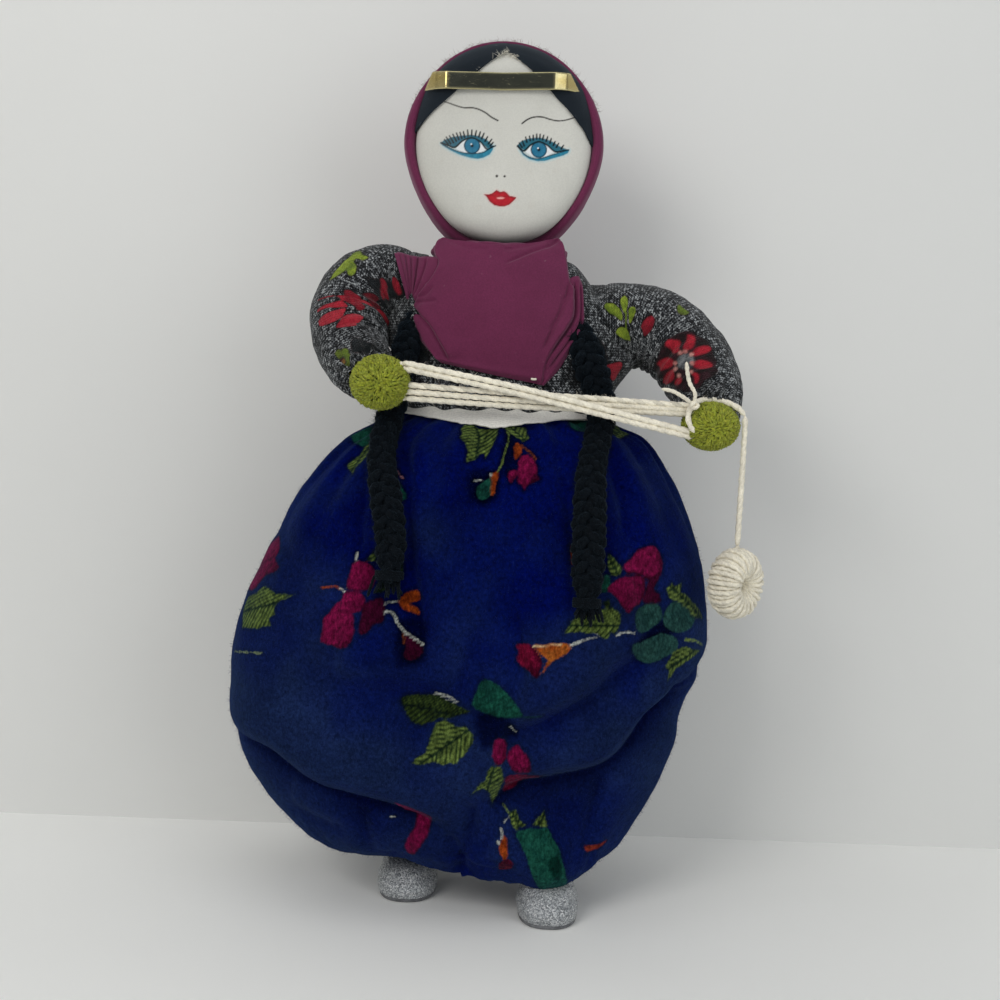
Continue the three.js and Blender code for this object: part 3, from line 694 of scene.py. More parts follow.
# -------------------------------------------------------------------- cords
# five strands held between the hands, the yarn over the left hand, the drop
# and the small skein that the drop is wound into
YARN_R = 1.3
STRANDS = [
    [[-38.5, -43.6, 238.6], [6, -46.4, 230.8], [42, -47.2, 223.2], [83.2, -43.6, 214.0]],
    [[-37.6, -43.4, 236.2], [6, -46.2, 228.2], [42, -47, 220.6], [83.6, -43.2, 211.8]],
    [[-37.4, -42, 229.4], [6, -42.4, 227.6], [42, -43, 226.6], [83.2, -41.6, 225.0]],
    [[-37.2, -41.8, 226.6], [6, -42.2, 224.8], [42, -42.8, 224.2], [82.8, -41.4, 223.2]],
    [[-37.6, -41.6, 223.8], [6, -42, 222.2], [42, -42.6, 221.9], [82.6, -41.2, 221.4]],
]
HAND_R = np.array([-48, -40, 230.1])
HAND_L = np.array([91.9, -38, 218.1])


def yarn_cord(name, pts, body, nodes, seed, hairs=160, path_points=30, pitch=8.0, per_turn=14, declare=True):
    c = curve(pts, 200)
    pile = Pile()
    yarn(pile, c, YARN_R, pitch=pitch, seed=seed, per_turn=per_turn, phase=seed * 1.7, taper=True)
    t, n, b = transport(c)
    a = np.random.default_rng(seed + 5).random(len(c)) * 2 * np.pi
    out = np.cos(a)[:, None] * n + np.sin(a)[:, None] * b
    fuzz(pile, c + out * YARN_R * 0.9, unit(out + 0.6 * t), hairs, 1.9, 0.05, seed + 9, 1.0, 1.2)
    ob = pile.object(name, MAT_CREAM)
    if body:
        carry(ob, body, "cream_yarn", *nodes)
    else:
        if nodes:
            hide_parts(*nodes)
    if declare:
        path = curve(pts, path_points)
        Wt(pts[0])
        length_of(c) * 0.001
        [Wt(p) for p in path]
    return ob, c


for i, pts in enumerate(STRANDS):
    yarn_cord(f"yarn_strand_{i + 1}_twist", pts, "arms", [f"yarn_strand_{i + 1}"], 11 + i)

# drop: plumb from the hand, bending where the yarn leaves the hand
DROP = [[105.0, -41.4, 221.6], [105.2, -41.2, 216.6], [105.2, -40.4, 198], [105.1, -39.4, 180], [105.0, -38.5, 166.4]]
drop, _ = yarn_cord("drop_yarn_twist", DROP, None, ["drop_yarn_top", "drop_yarn"], 31, 90)
Wt((105.9, -38.5, 221.5))
Wt((105.9, -38.5, 214.5))
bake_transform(drop)

# yarn that comes up the left side of the left hand, over it and down to the drop
OVER = [[83.4, -46.4, 214.0], [80.8, -45.6, 219.5], [82.6, -42.4, 225.4], [88.4, -38.4, 227.6], [95.4, -38.4, 227.4], [101.4, -40.2, 225.2], [105.0, -41.4, 221.8]]
over, _ = yarn_cord("yarn_over_hand", OVER, None, [], 37, 70)
Wt((97.0, -38.8, 226.6))
Wt((104.4, -41.2, 222.4))
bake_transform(over)

# skein: one yarn wound over and over a small ring
SK_C = np.array([105.0, -38.5, 150.6])


def skein_frame(p):
    """From the ring's own axes to the doll's: squeezed, tilted and turned as it hangs."""
    p = np.asarray(p, float) * np.array([0.86, 1, 1])
    ca, sa = math.cos(0.72), math.sin(0.72)
    p = np.stack([p[:, 0] * ca - p[:, 1] * sa, p[:, 0] * sa + p[:, 1] * ca, p[:, 2]], 1)
    cb, sb = math.cos(0.12), math.sin(0.12)
    return np.stack([p[:, 0], p[:, 1] * cb - p[:, 2] * sb, p[:, 1] * sb + p[:, 2] * cb], 1) + SK_C


TURNS = 62
_t = np.linspace(0, 1, TURNS * 26)
_around = 2 * np.pi * _t * 3.02 + math.pi / 2            # three layers round the ring
_pol = 2 * np.pi * TURNS * _t + 1.9
_layer = 0.8 + 0.26 * np.floor(_t * 3) / 2 + 0.05 * vnoise(np.stack([_t * 90, _t * 0], -1), 3)
_rr = 8.6 + 5.6 * _layer * np.cos(_pol)
_yy = 6.9 * _layer * np.sin(_pol)
_ring = np.stack([_rr * np.cos(_around), _yy, _rr * np.sin(_around)], 1)
skein_path = skein_frame(_ring)
skein_path = np.vstack([[[105.3, -38.5, 166.4]], skein_path])
skein_path = curve(skein_path, TURNS * 24)
pile = Pile()
yarn(pile, skein_path, 1.08, pitch=6.0, sides=5, per_turn=7, seed=41)
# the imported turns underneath
_ca, _cb = np.meshgrid(np.linspace(0, 2 * np.pi, 48, endpoint=False), np.linspace(0, 2 * np.pi, 24, endpoint=False))
_rc = 8.6 + 4.3 * np.cos(_cb)
_core = skein_frame(np.stack([_rc * np.cos(_ca), 5.4 * np.sin(_cb), _rc * np.sin(_ca)], -1).reshape(-1, 3))
_ci = np.arange(24 * 48).reshape(24, 48)
pile.add(_core, np.stack([_ci, np.roll(_ci, -1, 1), np.roll(np.roll(_ci, -1, 1), -1, 0), np.roll(_ci, -1, 0)], -1).reshape(-1, 4), 0.86)
t_, n_, b_ = transport(skein_path)
out_ = unit(skein_path - SK_C)
fuzz(pile, skein_path + out_ * 1.0, out_, 260, 2.2, 0.05, 45, 1.0, 1.3)
skein = pile.object("yarn_skein_wound", MAT_CREAM)
carry(skein, "skein", "cream_yarn", "yarn_skein")
Wt((105.3, -38.5, 166.4))
length_of(skein_path) * 0.001
[Wt(p) for p in skein_path[::2]]

# ------------------------------------------------------------ stage and light
WALL_Y = 80.0


def plane(name, pts, mat):
    me = bpy.data.meshes.new(name)
    me.from_pydata(W(pts).tolist(), [], [(0, 1, 2, 3)])
    me.materials.append(mat)
    ob = bpy.data.objects.new(name, me)
    scene.collection.objects.link(ob)
    return ob


def paint_material(name, base, see_through=False):
    m = Nodes(name)
    obj = m.coord()
    c = m.ramp(m.noise(obj, 3.0, 3, 0.5), [(0.3, base * 0.97), (0.7, base * 1.02)])
    mat = m.done(c, 0.85, m.bump(m.noise(obj, 240, 4, 0.6), 0.2, 0.25), Specular_IOR_Level=0.2)
    if see_through:
        geo = m.n("ShaderNodeNewGeometry")
        clear = m.n("ShaderNodeBsdfTransparent")
        mixer = m.n("ShaderNodeMixShader")
        m.link(geo.outputs["Backfacing"], mixer.inputs[0])
        m.link(m.b.outputs[0], mixer.inputs[1])
        m.link(clear.outputs[0], mixer.inputs[2])
        m.link(mixer.outputs[0], m.t.nodes["Material Output"].inputs["Surface"])
    return mat


plane("floor", [[-3000, -3000, -0.05], [3000, -3000, -0.05], [3000, 3000, -0.05], [-3000, 3000, -0.05]], paint_material("floor paint", lin("#f3f3f0")))
wall = plane("wall", [[-1500, WALL_Y, -0.04], [1500, WALL_Y, -0.04], [1500, WALL_Y, 1200], [-1500, WALL_Y, 1200]], paint_material("wall paint", lin("#e5e5e2"), True))
wall.visible_shadow = False


def area(name, at, to, size, watts, color=(1, 1, 1)):
    d = bpy.data.lights.new(name, "AREA")
    d.shape = "RECTANGLE"
    d.size, d.size_y = size[0] * 0.001, size[1] * 0.001
    d.energy = watts
    d.color = color
    ob = bpy.data.objects.new(name, d)
    scene.collection.objects.link(ob)
    ob.location = Wt(at)
    ob.rotation_mode = "QUATERNION"
    ob.rotation_quaternion = (Vector(Wt(to)) - Vector(Wt(at))).to_track_quat("-Z", "Y")
    return ob


area("key", (-500, -820, 700), (0, 0, 180), (480, 480), 3.7, (1.0, 0.985, 0.96))
area("fill", (700, -820, 420), (0, 0, 170), (700, 700), 2.4, (0.94, 0.97, 1.0))
area("top", (0, -260, 1050), (0, 0, 150), (900, 500), 1.4)
area("back", (-250, 900, 760), (0, 0, 180), (900, 800), 1.15)
world = bpy.data.worlds.new("studio")
world.use_nodes = True
world.node_tree.nodes["Background"].inputs["Color"].default_value = (0.93, 0.96, 1.0, 1)
world.node_tree.nodes["Background"].inputs["Strength"].default_value = 0.32
scene.world = world

# --------------------------------------------------------------------- head
HEAD_Z, HEAD_A, HEAD_C, HEAD_Y = 333.3, 38.4, 41.2, 19.0
HEAD_P = 4.5                                   # how boxy the puck's edge is
_r = np.concatenate([np.linspace(0, 0.9, 240, endpoint=False), 1 - 0.1 * np.linspace(1, 0, 500) ** 3])
_y = HEAD_Y * np.maximum(1 - _r ** HEAD_P, 0) ** (1 / HEAD_P)
_s = np.concatenate([[0], np.cumsum(np.hypot(np.diff(_r) * 39.8, np.diff(_y)))])
HEAD_TAB = (_s / _s[-1], _r, _y)


def head_depth(x, z):
    """Depth of the face cloth at (x, z)."""
    rho = np.clip(np.hypot(np.asarray(x) / HEAD_A, (np.asarray(z) - HEAD_Z) / HEAD_C), 0, 0.9995)
    return -HEAD_Y * (1 - rho ** HEAD_P) ** (1 / HEAD_P)


def head_shell(x, z, off):
    """Points off millimetres outside the face cloth."""
    x, z = np.asarray(x, float), np.asarray(z, float)
    e = 0.05
    gx = (head_depth(x + e, z) - head_depth(x - e, z)) / (2 * e)
    gz = (head_depth(x, z + e) - head_depth(x, z - e)) / (2 * e)
    n = unit(np.stack([gx, -np.ones_like(gx), gz], -1))
    return np.stack([x, head_depth(x, z), z], -1) + n * np.asarray(off)[..., None]


N = 320
_u, _v = np.meshgrid(np.linspace(-1, 1, N), np.linspace(1, -1, N))
_du, _dv = _u * np.sqrt(1 - _v ** 2 / 2), _v * np.sqrt(1 - _u ** 2 / 2)
_rad = np.hypot(_du, _dv)
_dir = np.stack([_du, _dv], -1) / np.maximum(_rad, 1e-9)[..., None]
_rr = np.interp(_rad, HEAD_TAB[0], HEAD_TAB[1])
_yy = -np.interp(_rad, HEAD_TAB[0], HEAD_TAB[2])
face = np.stack([_rr * HEAD_A * _dir[..., 0], _yy, HEAD_Z + _rr * HEAD_C * _dir[..., 1]], -1)
face[..., 1] += 0.35 * fbm(face[..., [0, 2]] / 17.0, 2, 5) * (1 - _rad ** 4)
front = face.reshape(-1, 3)
fpx = project(front)


def fp(pts, ox=430.0, oy=95.0, k=10.453):
    """Drawing units of the face to the picture frame."""
    return np.array([[ox + x / k, oy + y / k] for x, y in pts])


WHITE = lin("#d4d3cb")
ink = lin("#101a20")
paint_c = np.tile(WHITE, (len(front), 1))
paint_c *= (1 + 0.035 * fbm(fpx / 26.0, 3, 8))[:, None]


def stain(target, p, a, c):
    target[:] = target * (1 - a[:, None]) + np.asarray(c) * a[:, None]


def fill(target, p, poly, c, soft=0.5, c2=None, seed=0, jitter=0.15):
    lo_, hi_ = poly.min(0) - 6, poly.max(0) + 6
    m = np.all((p > lo_) & (p < hi_), 1)
    q = p[m]
    sd = poly_sd(q, poly) + jitter * vnoise(q * 0.9, seed)
    a = smoothstep(soft, -soft, sd)
    cc = np.tile(np.asarray(c, float), (len(q), 1))
    if c2 is not None:
        w = smoothstep(-0.6, 0.6, fbm(q / 2.2, 3, seed + 3))[:, None]
        cc = cc * (1 - w) + np.asarray(c2) * w
    target[m] = target[m] * (1 - a[:, None]) + cc * a[:, None]


def stroke(target, p, pts, c, w0, w1=None, soft=0.35, alpha=1.0, dense=True):
    pts = curve(pts, 40) if dense and len(pts) > 2 else np.asarray(pts, float)
    m = np.all((p > pts.min(0) - 5) & (p < pts.max(0) + 5), 1)
    d, _, t = line_dist(p[m], pts)
    w1 = w0 if w1 is None else w1
    half = (w0 + (w1 - w0) * t) / 2
    a = smoothstep(half + soft, half - soft, d) * alpha
    target[m] = target[m] * (1 - a[:, None]) + np.asarray(c) * a[:, None]


TEAL, CYAN, IRIS, PALE = lin("#226677"), lin("#27758f"), lin("#236a8a"), lin("#a9d0d8")
# faint blush of wash round the lids, then lids, whites, iris, lashes
EYES = [
    dict(shadow=[(112, 500), (150, 470), (230, 440), (330, 425), (430, 415), (520, 430), (600, 470), (660, 530), (650, 560), (600, 560), (520, 480), (430, 448), (340, 470), (268, 545), (215, 540), (150, 522)],
         lower=[(116, 505), (200, 552), (320, 598), (450, 612), (560, 596), (620, 555), (666, 528), (655, 575), (625, 622), (560, 655), (500, 668), (420, 658), (320, 628), (215, 580), (130, 528)],
         white=[(262, 546), (345, 478), (440, 448), (530, 492), (592, 567), (520, 602), (440, 612), (360, 600), (300, 578)],
         lid=[(116, 500), (200, 530), (262, 546), (345, 476), (440, 447), (530, 492), (594, 567), (655, 540)],
         low=[(118, 508), (200, 552), (320, 598), (450, 613), (560, 598), (625, 556)],
         iris=(440, 530), r=84,
         lashes=[((150, 465), (188, 512)), ((170, 440), (216, 508)), ((203, 426), (246, 498)), ((238, 410), (275, 480)), ((276, 397), (302, 465)), ((313, 391), (332, 452)), ((349, 383), (362, 440)), ((393, 366), (398, 428)), ((437, 366), (436, 422)), ((484, 373), (474, 428)), ((526, 386), (511, 436)), ((565, 400), (541, 455)), ((602, 436), (576, 482)), ((645, 463), (611, 510)), ((660, 496), (630, 530)), ((686, 531), (640, 546))]),
    dict(shadow=[(908, 530), (950, 485), (1010, 460), (1080, 448), (1150, 445), (1230, 465), (1290, 492), (1360, 538), (1440, 572), (1380, 592), (1300, 590), (1220, 520), (1138, 490), (1055, 520), (992, 580), (950, 560)],
         lower=[(930, 545), (972, 604), (1020, 640), (1090, 664), (1170, 660), (1280, 625), (1380, 595), (1455, 572), (1452, 592), (1436, 610), (1390, 634), (1290, 662), (1200, 689), (1130, 693), (1040, 672), (975, 628), (938, 575)],
         white=[(990, 580), (1055, 520), (1138, 490), (1222, 522), (1302, 591), (1230, 634), (1140, 655), (1060, 632), (1010, 606)],
         lid=[(915, 535), (955, 572), (990, 582), (1055, 520), (1138, 489), (1222, 522), (1304, 591), (1380, 585), (1450, 574)],
         low=[(930, 545), (972, 604), (1020, 640), (1090, 664), (1170, 660), (1280, 625), (1380, 596), (1450, 575)],
         iris=(1138, 572), r=84,
         lashes=[((918, 530), (945, 570)), ((932, 500), (962, 545)), ((965, 480), (985, 530)), ((1000, 440), (1012, 492)), ((1040, 430), (1048, 476)), ((1078, 420), (1081, 470)), ((1115, 408), (1115, 458)), ((1152, 410), (1148, 458)), ((1188, 420), (1178, 466)), ((1230, 436), (1215, 482)), ((1268, 455), (1254, 502)), ((1308, 486), (1290, 526)), ((1345, 505), (1322, 546)), ((1395, 527), (1372, 562))]),
]
for k, e in enumerate(EYES):
    glow = fp(e["lower"])
    d_ = poly_sd(fpx, glow)
    stain(paint_c, fpx, 0.55 * smoothstep(3.2, 0.0, d_) * (fpx[:, 1] > fp([e["iris"]])[0, 1] - 4), PALE)
    fill(paint_c, fpx, fp(e["shadow"]), TEAL, 0.6, lin("#3b6f86"), 11 + k)
    fill(paint_c, fpx, fp(e["lower"]), CYAN, 0.55, lin("#338ba6"), 13 + k)
    fill(paint_c, fpx, fp(e["white"]), lin("#e6e9ea"), 0.4)
    c_ = fp([e["iris"]])[0]
    r_ = e["r"] / 10.453
    d_ = np.hypot(*(fpx - c_).T)
    inside = poly_sd(fpx, fp(e["white"])) < 0.8
    stain(paint_c, fpx, smoothstep(r_ + 0.4, r_ - 0.4, d_) * inside, IRIS)
    rays = 0.5 + 0.5 * vnoise(np.stack([np.arctan2(*(fpx - c_).T) * 6, d_ * 0.35], -1), 21 + k)
    stain(paint_c, fpx, 0.22 * rays * smoothstep(r_, r_ - 1.5, d_) * smoothstep(1.5, 4, d_) * inside, lin("#57b3d6"))
    stain(paint_c, fpx, 0.9 * smoothstep(1.0, 0.2, np.abs(d_ - r_ + 0.5)) * inside, lin("#0f3a4c"))
    stain(paint_c, fpx, smoothstep(1.9, 1.0, d_), ink)
    hl = c_ + np.array([-0.9, -1.5])
    stain(paint_c, fpx, 0.95 * smoothstep(1.15, 0.5, np.hypot(*(fpx - hl).T)), lin("#f4f8f8"))
    stroke(paint_c, fpx, fp(e["lid"]), lin("#081f26"), 1.9, 1.5)
    stroke(paint_c, fpx, fp(e["low"]), lin("#0d3346"), 1.2, 1.0, alpha=0.9)
    for a_, b_ in e["lashes"]:
        stroke(paint_c, fpx, fp([b_, a_]), ink, 1.9, 1.35, 0.4, 1.0, False)

stroke(paint_c, fpx, fp([(130, 62), (200, 85), (270, 110), (350, 132), (440, 133), (510, 150), (580, 185), (640, 230), (710, 268)]), lin("#15110f"), 1.15, 1.5, 0.4)
stroke(paint_c, fpx, fp([(962, 298), (1010, 262), (1060, 238), (1120, 228), (1190, 234), (1260, 256), (1340, 270), (1420, 262), (1510, 236)]), lin("#15110f"), 1.5, 1.15, 0.4)
for c_, r_ in (((698, 847), 1.25), ((780, 850), 1.1)):
    d_ = np.hypot(*(fpx - fp([c_])[0]).T)
    stain(paint_c, fpx, smoothstep(r_ + 0.5, r_ - 0.4, d_), lin("#1d1716"))
LIPS = fp([(568, 1040), (610, 1041), (650, 1028), (695, 994), (735, 1014), (775, 1006), (802, 1022), (832, 1055), (897, 1068), (898, 1080), (872, 1106), (830, 1145), (782, 1163), (730, 1165), (670, 1150), (620, 1110), (594, 1066)])
d_ = poly_sd(fpx, LIPS)
stain(paint_c, fpx, 0.3 * smoothstep(2.6, 0.0, d_), lin("#e8a9a4"))
fill(paint_c, fpx, LIPS, lin("#b01f2c"), 0.45, lin("#c22a34"), 31)
stain(paint_c, fpx, 0.55 * smoothstep(-2.4, -0.3, d_) * smoothstep(0.4, -0.2, d_), lin("#6f1420"))
stroke(paint_c, fpx, fp([(575, 1043), (660, 1050), (735, 1058), (810, 1062), (895, 1072)]), lin("#861824"), 0.8, 0.8, 0.5, 0.6)
q_ = (fpx - fp([(738, 1077)])[0]) / np.array([4.4, 1.1])
stain(paint_c, fpx, 0.9 * smoothstep(1.15, 0.6, np.hypot(*q_.T)), lin("#f2b5ae"))
# painted shade: the face greys towards its edge at negative x
stain(paint_c, fpx, 0.16 * smoothstep(-4, -34, front.reshape(-1, 3)[:, 0]), lin("#9d9a93"))
# light handling marks at random
stain(paint_c, fpx, 0.1 * smoothstep(0.25, 0.7, fbm(fpx / 9.0, 4, 40)), lin("#b9a795"))

# the back half carries on from the rim
loop = np.concatenate([np.arange(N), np.arange(2 * N - 1, N * N, N), np.arange(N * N - 2, N * N - N - 1, -1), np.arange(N * N - 2 * N, 0, -N)])
bdir = _dir.reshape(-1, 2)[loop]
verts, faces = [front], grid_faces(N, N, False, True).tolist()
prev, base = loop, N * N
for sr in (0.93, 0.86, 0.78, 0.66, 0.5, 0.32, 0.14):
    rr_, yy_ = np.interp(sr, HEAD_TAB[0], HEAD_TAB[1]), np.interp(sr, HEAD_TAB[0], HEAD_TAB[2])
    verts.append(np.stack([rr_ * HEAD_A * bdir[:, 0], np.full(len(loop), yy_), HEAD_Z + rr_ * HEAD_C * bdir[:, 1]], 1))
    cur = np.arange(base, base + len(loop))
    for j in range(len(loop)):
        k = (j + 1) % len(loop)
        faces.append([int(prev[j]), int(cur[j]), int(cur[k]), int(prev[k])][::-1])
    prev, base = cur, base + len(loop)
verts.append(np.array([[0, HEAD_Y, HEAD_Z]]))
for j in range(len(loop)):
    faces.append([int(prev[j]), base, int(prev[(j + 1) % len(loop)])][::-1])
hv = np.vstack(verts)
hc = np.vstack([paint_c, np.tile(WHITE, (len(hv) - len(front), 1))])
uvv = np.stack([hv[:, 0], hv[:, 2]], 1)
head = build("head_cloth", hv, faces, MAT_FACE, hc, np.vstack([uvv[list(f)] for f in faces]))
carry(head, "head", "white_cotton", "face_cloth", "head_back_cloth", "head_stuffing")


# hair: two black panels that meet in a parting
def rim_point(ang, k=1.0):
    return np.stack([HEAD_A * k * np.cos(ang), HEAD_Z + HEAD_C * k * np.sin(ang)], -1)


def hair(name, inner, a0, a1, seed, node):
    """Panel from the parting out to the rim and over it to the side of the head."""
    nu, nv, nw = 120, 34, 16
    inn = curve(np.array(inner), nu)
    ang = np.linspace(math.radians(a0), math.radians(a1), nu)
    outer = rim_point(ang, 0.93)
    k0 = np.hypot(inn[:, 0] / HEAD_A, (inn[:, 1] - HEAD_Z) / HEAD_C)
    outer = np.where((k0 > 0.93)[:, None], inn, outer)
    t = np.linspace(0, 1, nv)[:, None, None]
    rag = 0.5 * fbm(np.stack([np.linspace(0, 16, nu), np.full(nu, seed)], -1), 3, seed)
    start = inn + np.stack([rag * 0.6, rag], -1) * 0.8
    xz = start[None] * (1 - t) + outer[None] * t
    lift = 0.6 + 0.3 * fbm(xz / 9.0, 2, seed) + 0.4 * np.exp(-t[..., 0] * 26)
    p = head_shell(xz[..., 0], xz[..., 1], lift)
    # round the rim, along the head's own profile
    th = np.arctan2((outer[:, 1] - HEAD_Z) / HEAD_C, outer[:, 0] / HEAD_A)
    ks = np.clip(np.hypot(outer[:, 0] / HEAD_A, (outer[:, 1] - HEAD_Z) / HEAD_C), 0, 0.9995)
    s0 = np.interp(ks, HEAD_TAB[1], HEAD_TAB[0])
    rows = []
    for w in np.linspace(0, 1, nw + 1)[1:]:
        sv = s0 + (0.995 - s0) * w
        r_, y_ = np.interp(sv, HEAD_TAB[0], HEAD_TAB[1]), np.interp(sv, HEAD_TAB[0], HEAD_TAB[2])
        dr, dy = np.interp(sv + 0.01, HEAD_TAB[0], HEAD_TAB[1]) - np.interp(sv - 0.01, HEAD_TAB[0], HEAD_TAB[1]), np.interp(sv + 0.01, HEAD_TAB[0], HEAD_TAB[2]) - np.interp(sv - 0.01, HEAD_TAB[0], HEAD_TAB[2])
        n_ = unit(np.stack([-dy, 39.8 * dr], -1))
        off = lift[-1] + 2.5 * smoothstep(0.0, 0.7, w) * smoothstep(0.15, 0.75, np.sin(th)) + 0.3 * w
        rad = r_[:, None] * np.array([HEAD_A, HEAD_C]) + (n_[:, 0] * off)[:, None]
        rows.append(np.stack([rad[:, 0] * np.cos(th), -y_ - n_[:, 1] * off, HEAD_Z + rad[:, 1] * np.sin(th)], -1))
    p = np.concatenate([p, np.array(rows)])
    ob = grid_object(name, p, MAT_HAIR, flip=(inner[-1][0] < 0))
    thicken(ob, 0.5, 1.0)
    carry(ob, "head", "black_cotton", node)
    cloth_sheet(ob, p)
    return p


hr = hair("hair_panel_right", [(0.3, 372.3), (-6, 368), (-12.4, 362.7), (-21.5, 354), (-31, 345), (-37.9, 337.2)], 89.5, 174.0, 51, "hair_right")
hl_ = hair("hair_panel_left", [(-0.3, 372.3), (5.6, 368.2), (11.4, 363.5), (20.2, 354.5), (29.1, 345.6), (37.9, 334.6)], 90.5, 2.0, 52, "hair_left")

# frayed threads along the parting
pile = Pile()
rng = np.random.default_rng(61)
for side, ref in ((-1, hr), (1, hl_)):
    edge = ref[0]
    for i in range(46):
        k = int(rng.integers(0, 12) if i < 38 else rng.integers(0, 40))
        p0 = edge[k] + rng.normal(0, 0.25, 3)
        d = np.array([rng.normal(0, 0.8) - 0.15 * side, -0.35, rng.normal(-0.2, 0.8)])
        ln = 0.8 + 2.2 * rng.random() * (1 if i < 60 else 0.5)
        q = np.linspace(0, 1, 4)[:, None]
        c = p0 + unit(d) * ln * q + np.array([0, 0.25, 0]) * q * q
        c[:, 1] = np.minimum(c[:, 1], head_depth(c[:, 0], c[:, 2]) - 0.25)
        v, f = tube(c, np.array([0.07, 0.065, 0.055, 0.03]), 3, False)
        pile.add(v, f, (0.93, 0.95, 0.98))
fr = pile.object("parting_threads", MAT_CREAM)
carry(fr, "head", "white_cotton")

# headband: a strip of foil, flat in front and bent back to its ends
nu, nv = 140, 14
sx = np.linspace(0, 1, nu)
lowz = np.interp(sx, [0, 0.17, 0.5, 0.83, 1], [355.2, 354.9, 355.0, 355.9, 356.9])
topz = np.interp(sx, [0, 0.17, 0.5, 0.83, 1], [362.5, 362.2, 362.4, 363.3, 363.8])
xx = -33.0 + 62.6 * sx
tv = np.linspace(0, 1, nv)[:, None]
zz = lowz * (1 - tv) + topz * tv
X = np.broadcast_to(xx, zz.shape) + (tv - 0.5) * np.interp(sx, [0, 0.1, 0.9, 1], [3.4, 0, 0, -4.6])
flat = -HEAD_Y - 2.3
bend = np.where(X < -25.4, (-25.4 - X) * 0.52 + np.maximum(-29.4 - X, 0) * 0.55, np.where(X > 21.0, (X - 21.0) * 0.5 + np.maximum(X - 26, 0) * 0.6, 0))
Y = flat + bend + 0.18 * np.sin(X * 0.21 + 1) + 0.12 * fbm(np.stack([X / 7, zz / 7], -1), 2, 71) + 0.5 * (tv - 0.5) ** 2
hug = head_shell(X, zz, np.full(X.shape, 1.35))[..., 1]
Y = np.minimum(Y, hug)
# painted reflection: dark where the band lies flat, bright gold at its bent-back ends; painted highlight along its top
# and bottom edges
ends = np.maximum(smoothstep(-23.4, -26.2, X), smoothstep(19.6, 22.2, X))
tone = 0.5 + 0.5 * fbm(np.stack([X / 9, zz / 5], -1), 2, 72)
mid_c = lin("#3c3f3b") * (1 - tone[..., None]) + lin("#5e5f52") * tone[..., None]
end_c = lin("#b49a4c") * (1 - tone[..., None]) + lin("#f1e6b4") * tone[..., None]
fc = mid_c * (1 - ends[..., None]) + end_c * ends[..., None]
edge_ = np.maximum(smoothstep(0.16, 0.0, tv), smoothstep(0.9, 1.0, tv))[..., None] * np.ones_like(X)[..., None]
fc = fc * (1 - 0.8 * edge_) + lin("#d9cf9c") * 0.8 * edge_
band = grid_object("foil_band", np.stack([X, Y, zz], -1), MAT_FOIL, flip=False, color=fc.reshape(-1, 3))
thicken(band, 0.35, 0.0)
carry(band, "head", "gold_foil", "headband")

# headscarf: cloth drawn round the rim and back of the head
nu = 300
ang = np.linspace(-math.pi / 2, 1.5 * math.pi, nu, endpoint=False)
low = np.exp(-((np.angle(np.exp(1j * (ang + math.pi / 2)))) / math.radians(41)) ** 4)   # 1 under the chin
prof = np.array([[38.75, -3.5], [38.8, -7.6], [39.3, -10.6], [40.4, -12.0], [41.6, -11.4], [42.4, -8.8], [42.9, -4.6], [43.1, 1.5], [42.6, 7.5], [41.0, 13], [36.6, 18], [30, 21], [22, 22.7], [12, 23.6], [4, 24], [0.04, 24.05]])
prof = curve(np.column_stack([prof, np.zeros(len(prof))]), 110)[:, :2]
nvp = len(prof)
fr_ = np.linspace(0, 1, nvp)[:, None]
R = prof[:, :1] + np.zeros((1, nu))
Yp = prof[:, 1:] + np.zeros((1, nu))
# under the chin the cloth starts further back and lies on the neck
Yp = Yp + low[None] * np.maximum(0, 10.5 - 18 * fr_)
topw = smoothstep(0.2, 0.75, np.sin(ang))
loww = smoothstep(0.1, -0.45, np.sin(ang)) * (1 - low)
lip = np.exp(-(fr_ / 0.2) ** 2)
Yp = Yp + topw[None] * 8.6 * lip
R = R + topw[None] * (3.4 * np.exp(-(fr_ / 0.11) ** 2) - 0.55)
R = R - loww[None] * 1.9 * smoothstep(0.02, 0.14, fr_) * np.exp(-((fr_ - 0.2) / 0.3) ** 2)
rim_wave = 0.35 * fbm(np.stack([np.cos(ang) * 3, np.sin(ang) * 3], -1), 3, 81)
R = R + rim_wave[None] * np.exp(-((fr_ - 0.12) / 0.12) ** 2)
Yp = Yp + 0.7 * fbm(np.stack([np.cos(ang) * 2 + 5, np.sin(ang) * 2], -1), 2, 82)[None] * np.exp(-((fr_ - 0.1) / 0.12) ** 2)
hx = R * np.cos(ang)[None]
hz = HEAD_Z + R * (HEAD_C / HEAD_A) * np.sin(ang)[None]
# folds: radiating from the neck at the back, gentle ones along the sides
px_, pz_ = hx, hz - 292.0
fan = np.arctan2(px_, np.maximum(pz_, 2.0))
depth_fold = 0.9 * np.sin(fan * 15 + 1.3 * fbm(np.stack([px_ / 20, pz_ / 20], -1), 2, 83)) * smoothstep(0.35, 0.6, fr_) * np.exp(-np.hypot(px_, pz_) / 42.0)
side_fold = 0.45 * fbm(np.stack([ang[None] * 5 + 0 * R, Yp / 5.0], -1), 3, 84) * smoothstep(0.2, 0.4, fr_)
P = np.stack([hx, Yp, hz], -1)
nrm = grid_normals(P, True, True)
if (nrm[nvp // 2, nu // 4] @ np.array([1.0, 0, 0])) < 0:
    nrm = -nrm
P = P + nrm * (depth_fold + side_fold)[..., None]
keep = 291.6 + 0.5 * fbm(P[..., [0, 1]] / 6.0, 2, 85)
P[..., 2] = np.where(P[..., 2] < keep + 3, keep + 3 * np.exp((P[..., 2] - keep - 3) / 3.0), P[..., 2])
hood = grid_object("headscarf_cloth", P, MAT_PLUM, wrap=True, flip=False)
thicken(hood, 0.8, -1.0)
carry(hood, "head", "plum_cotton", "headscarf")
cloth_sheet(hood, P, True)

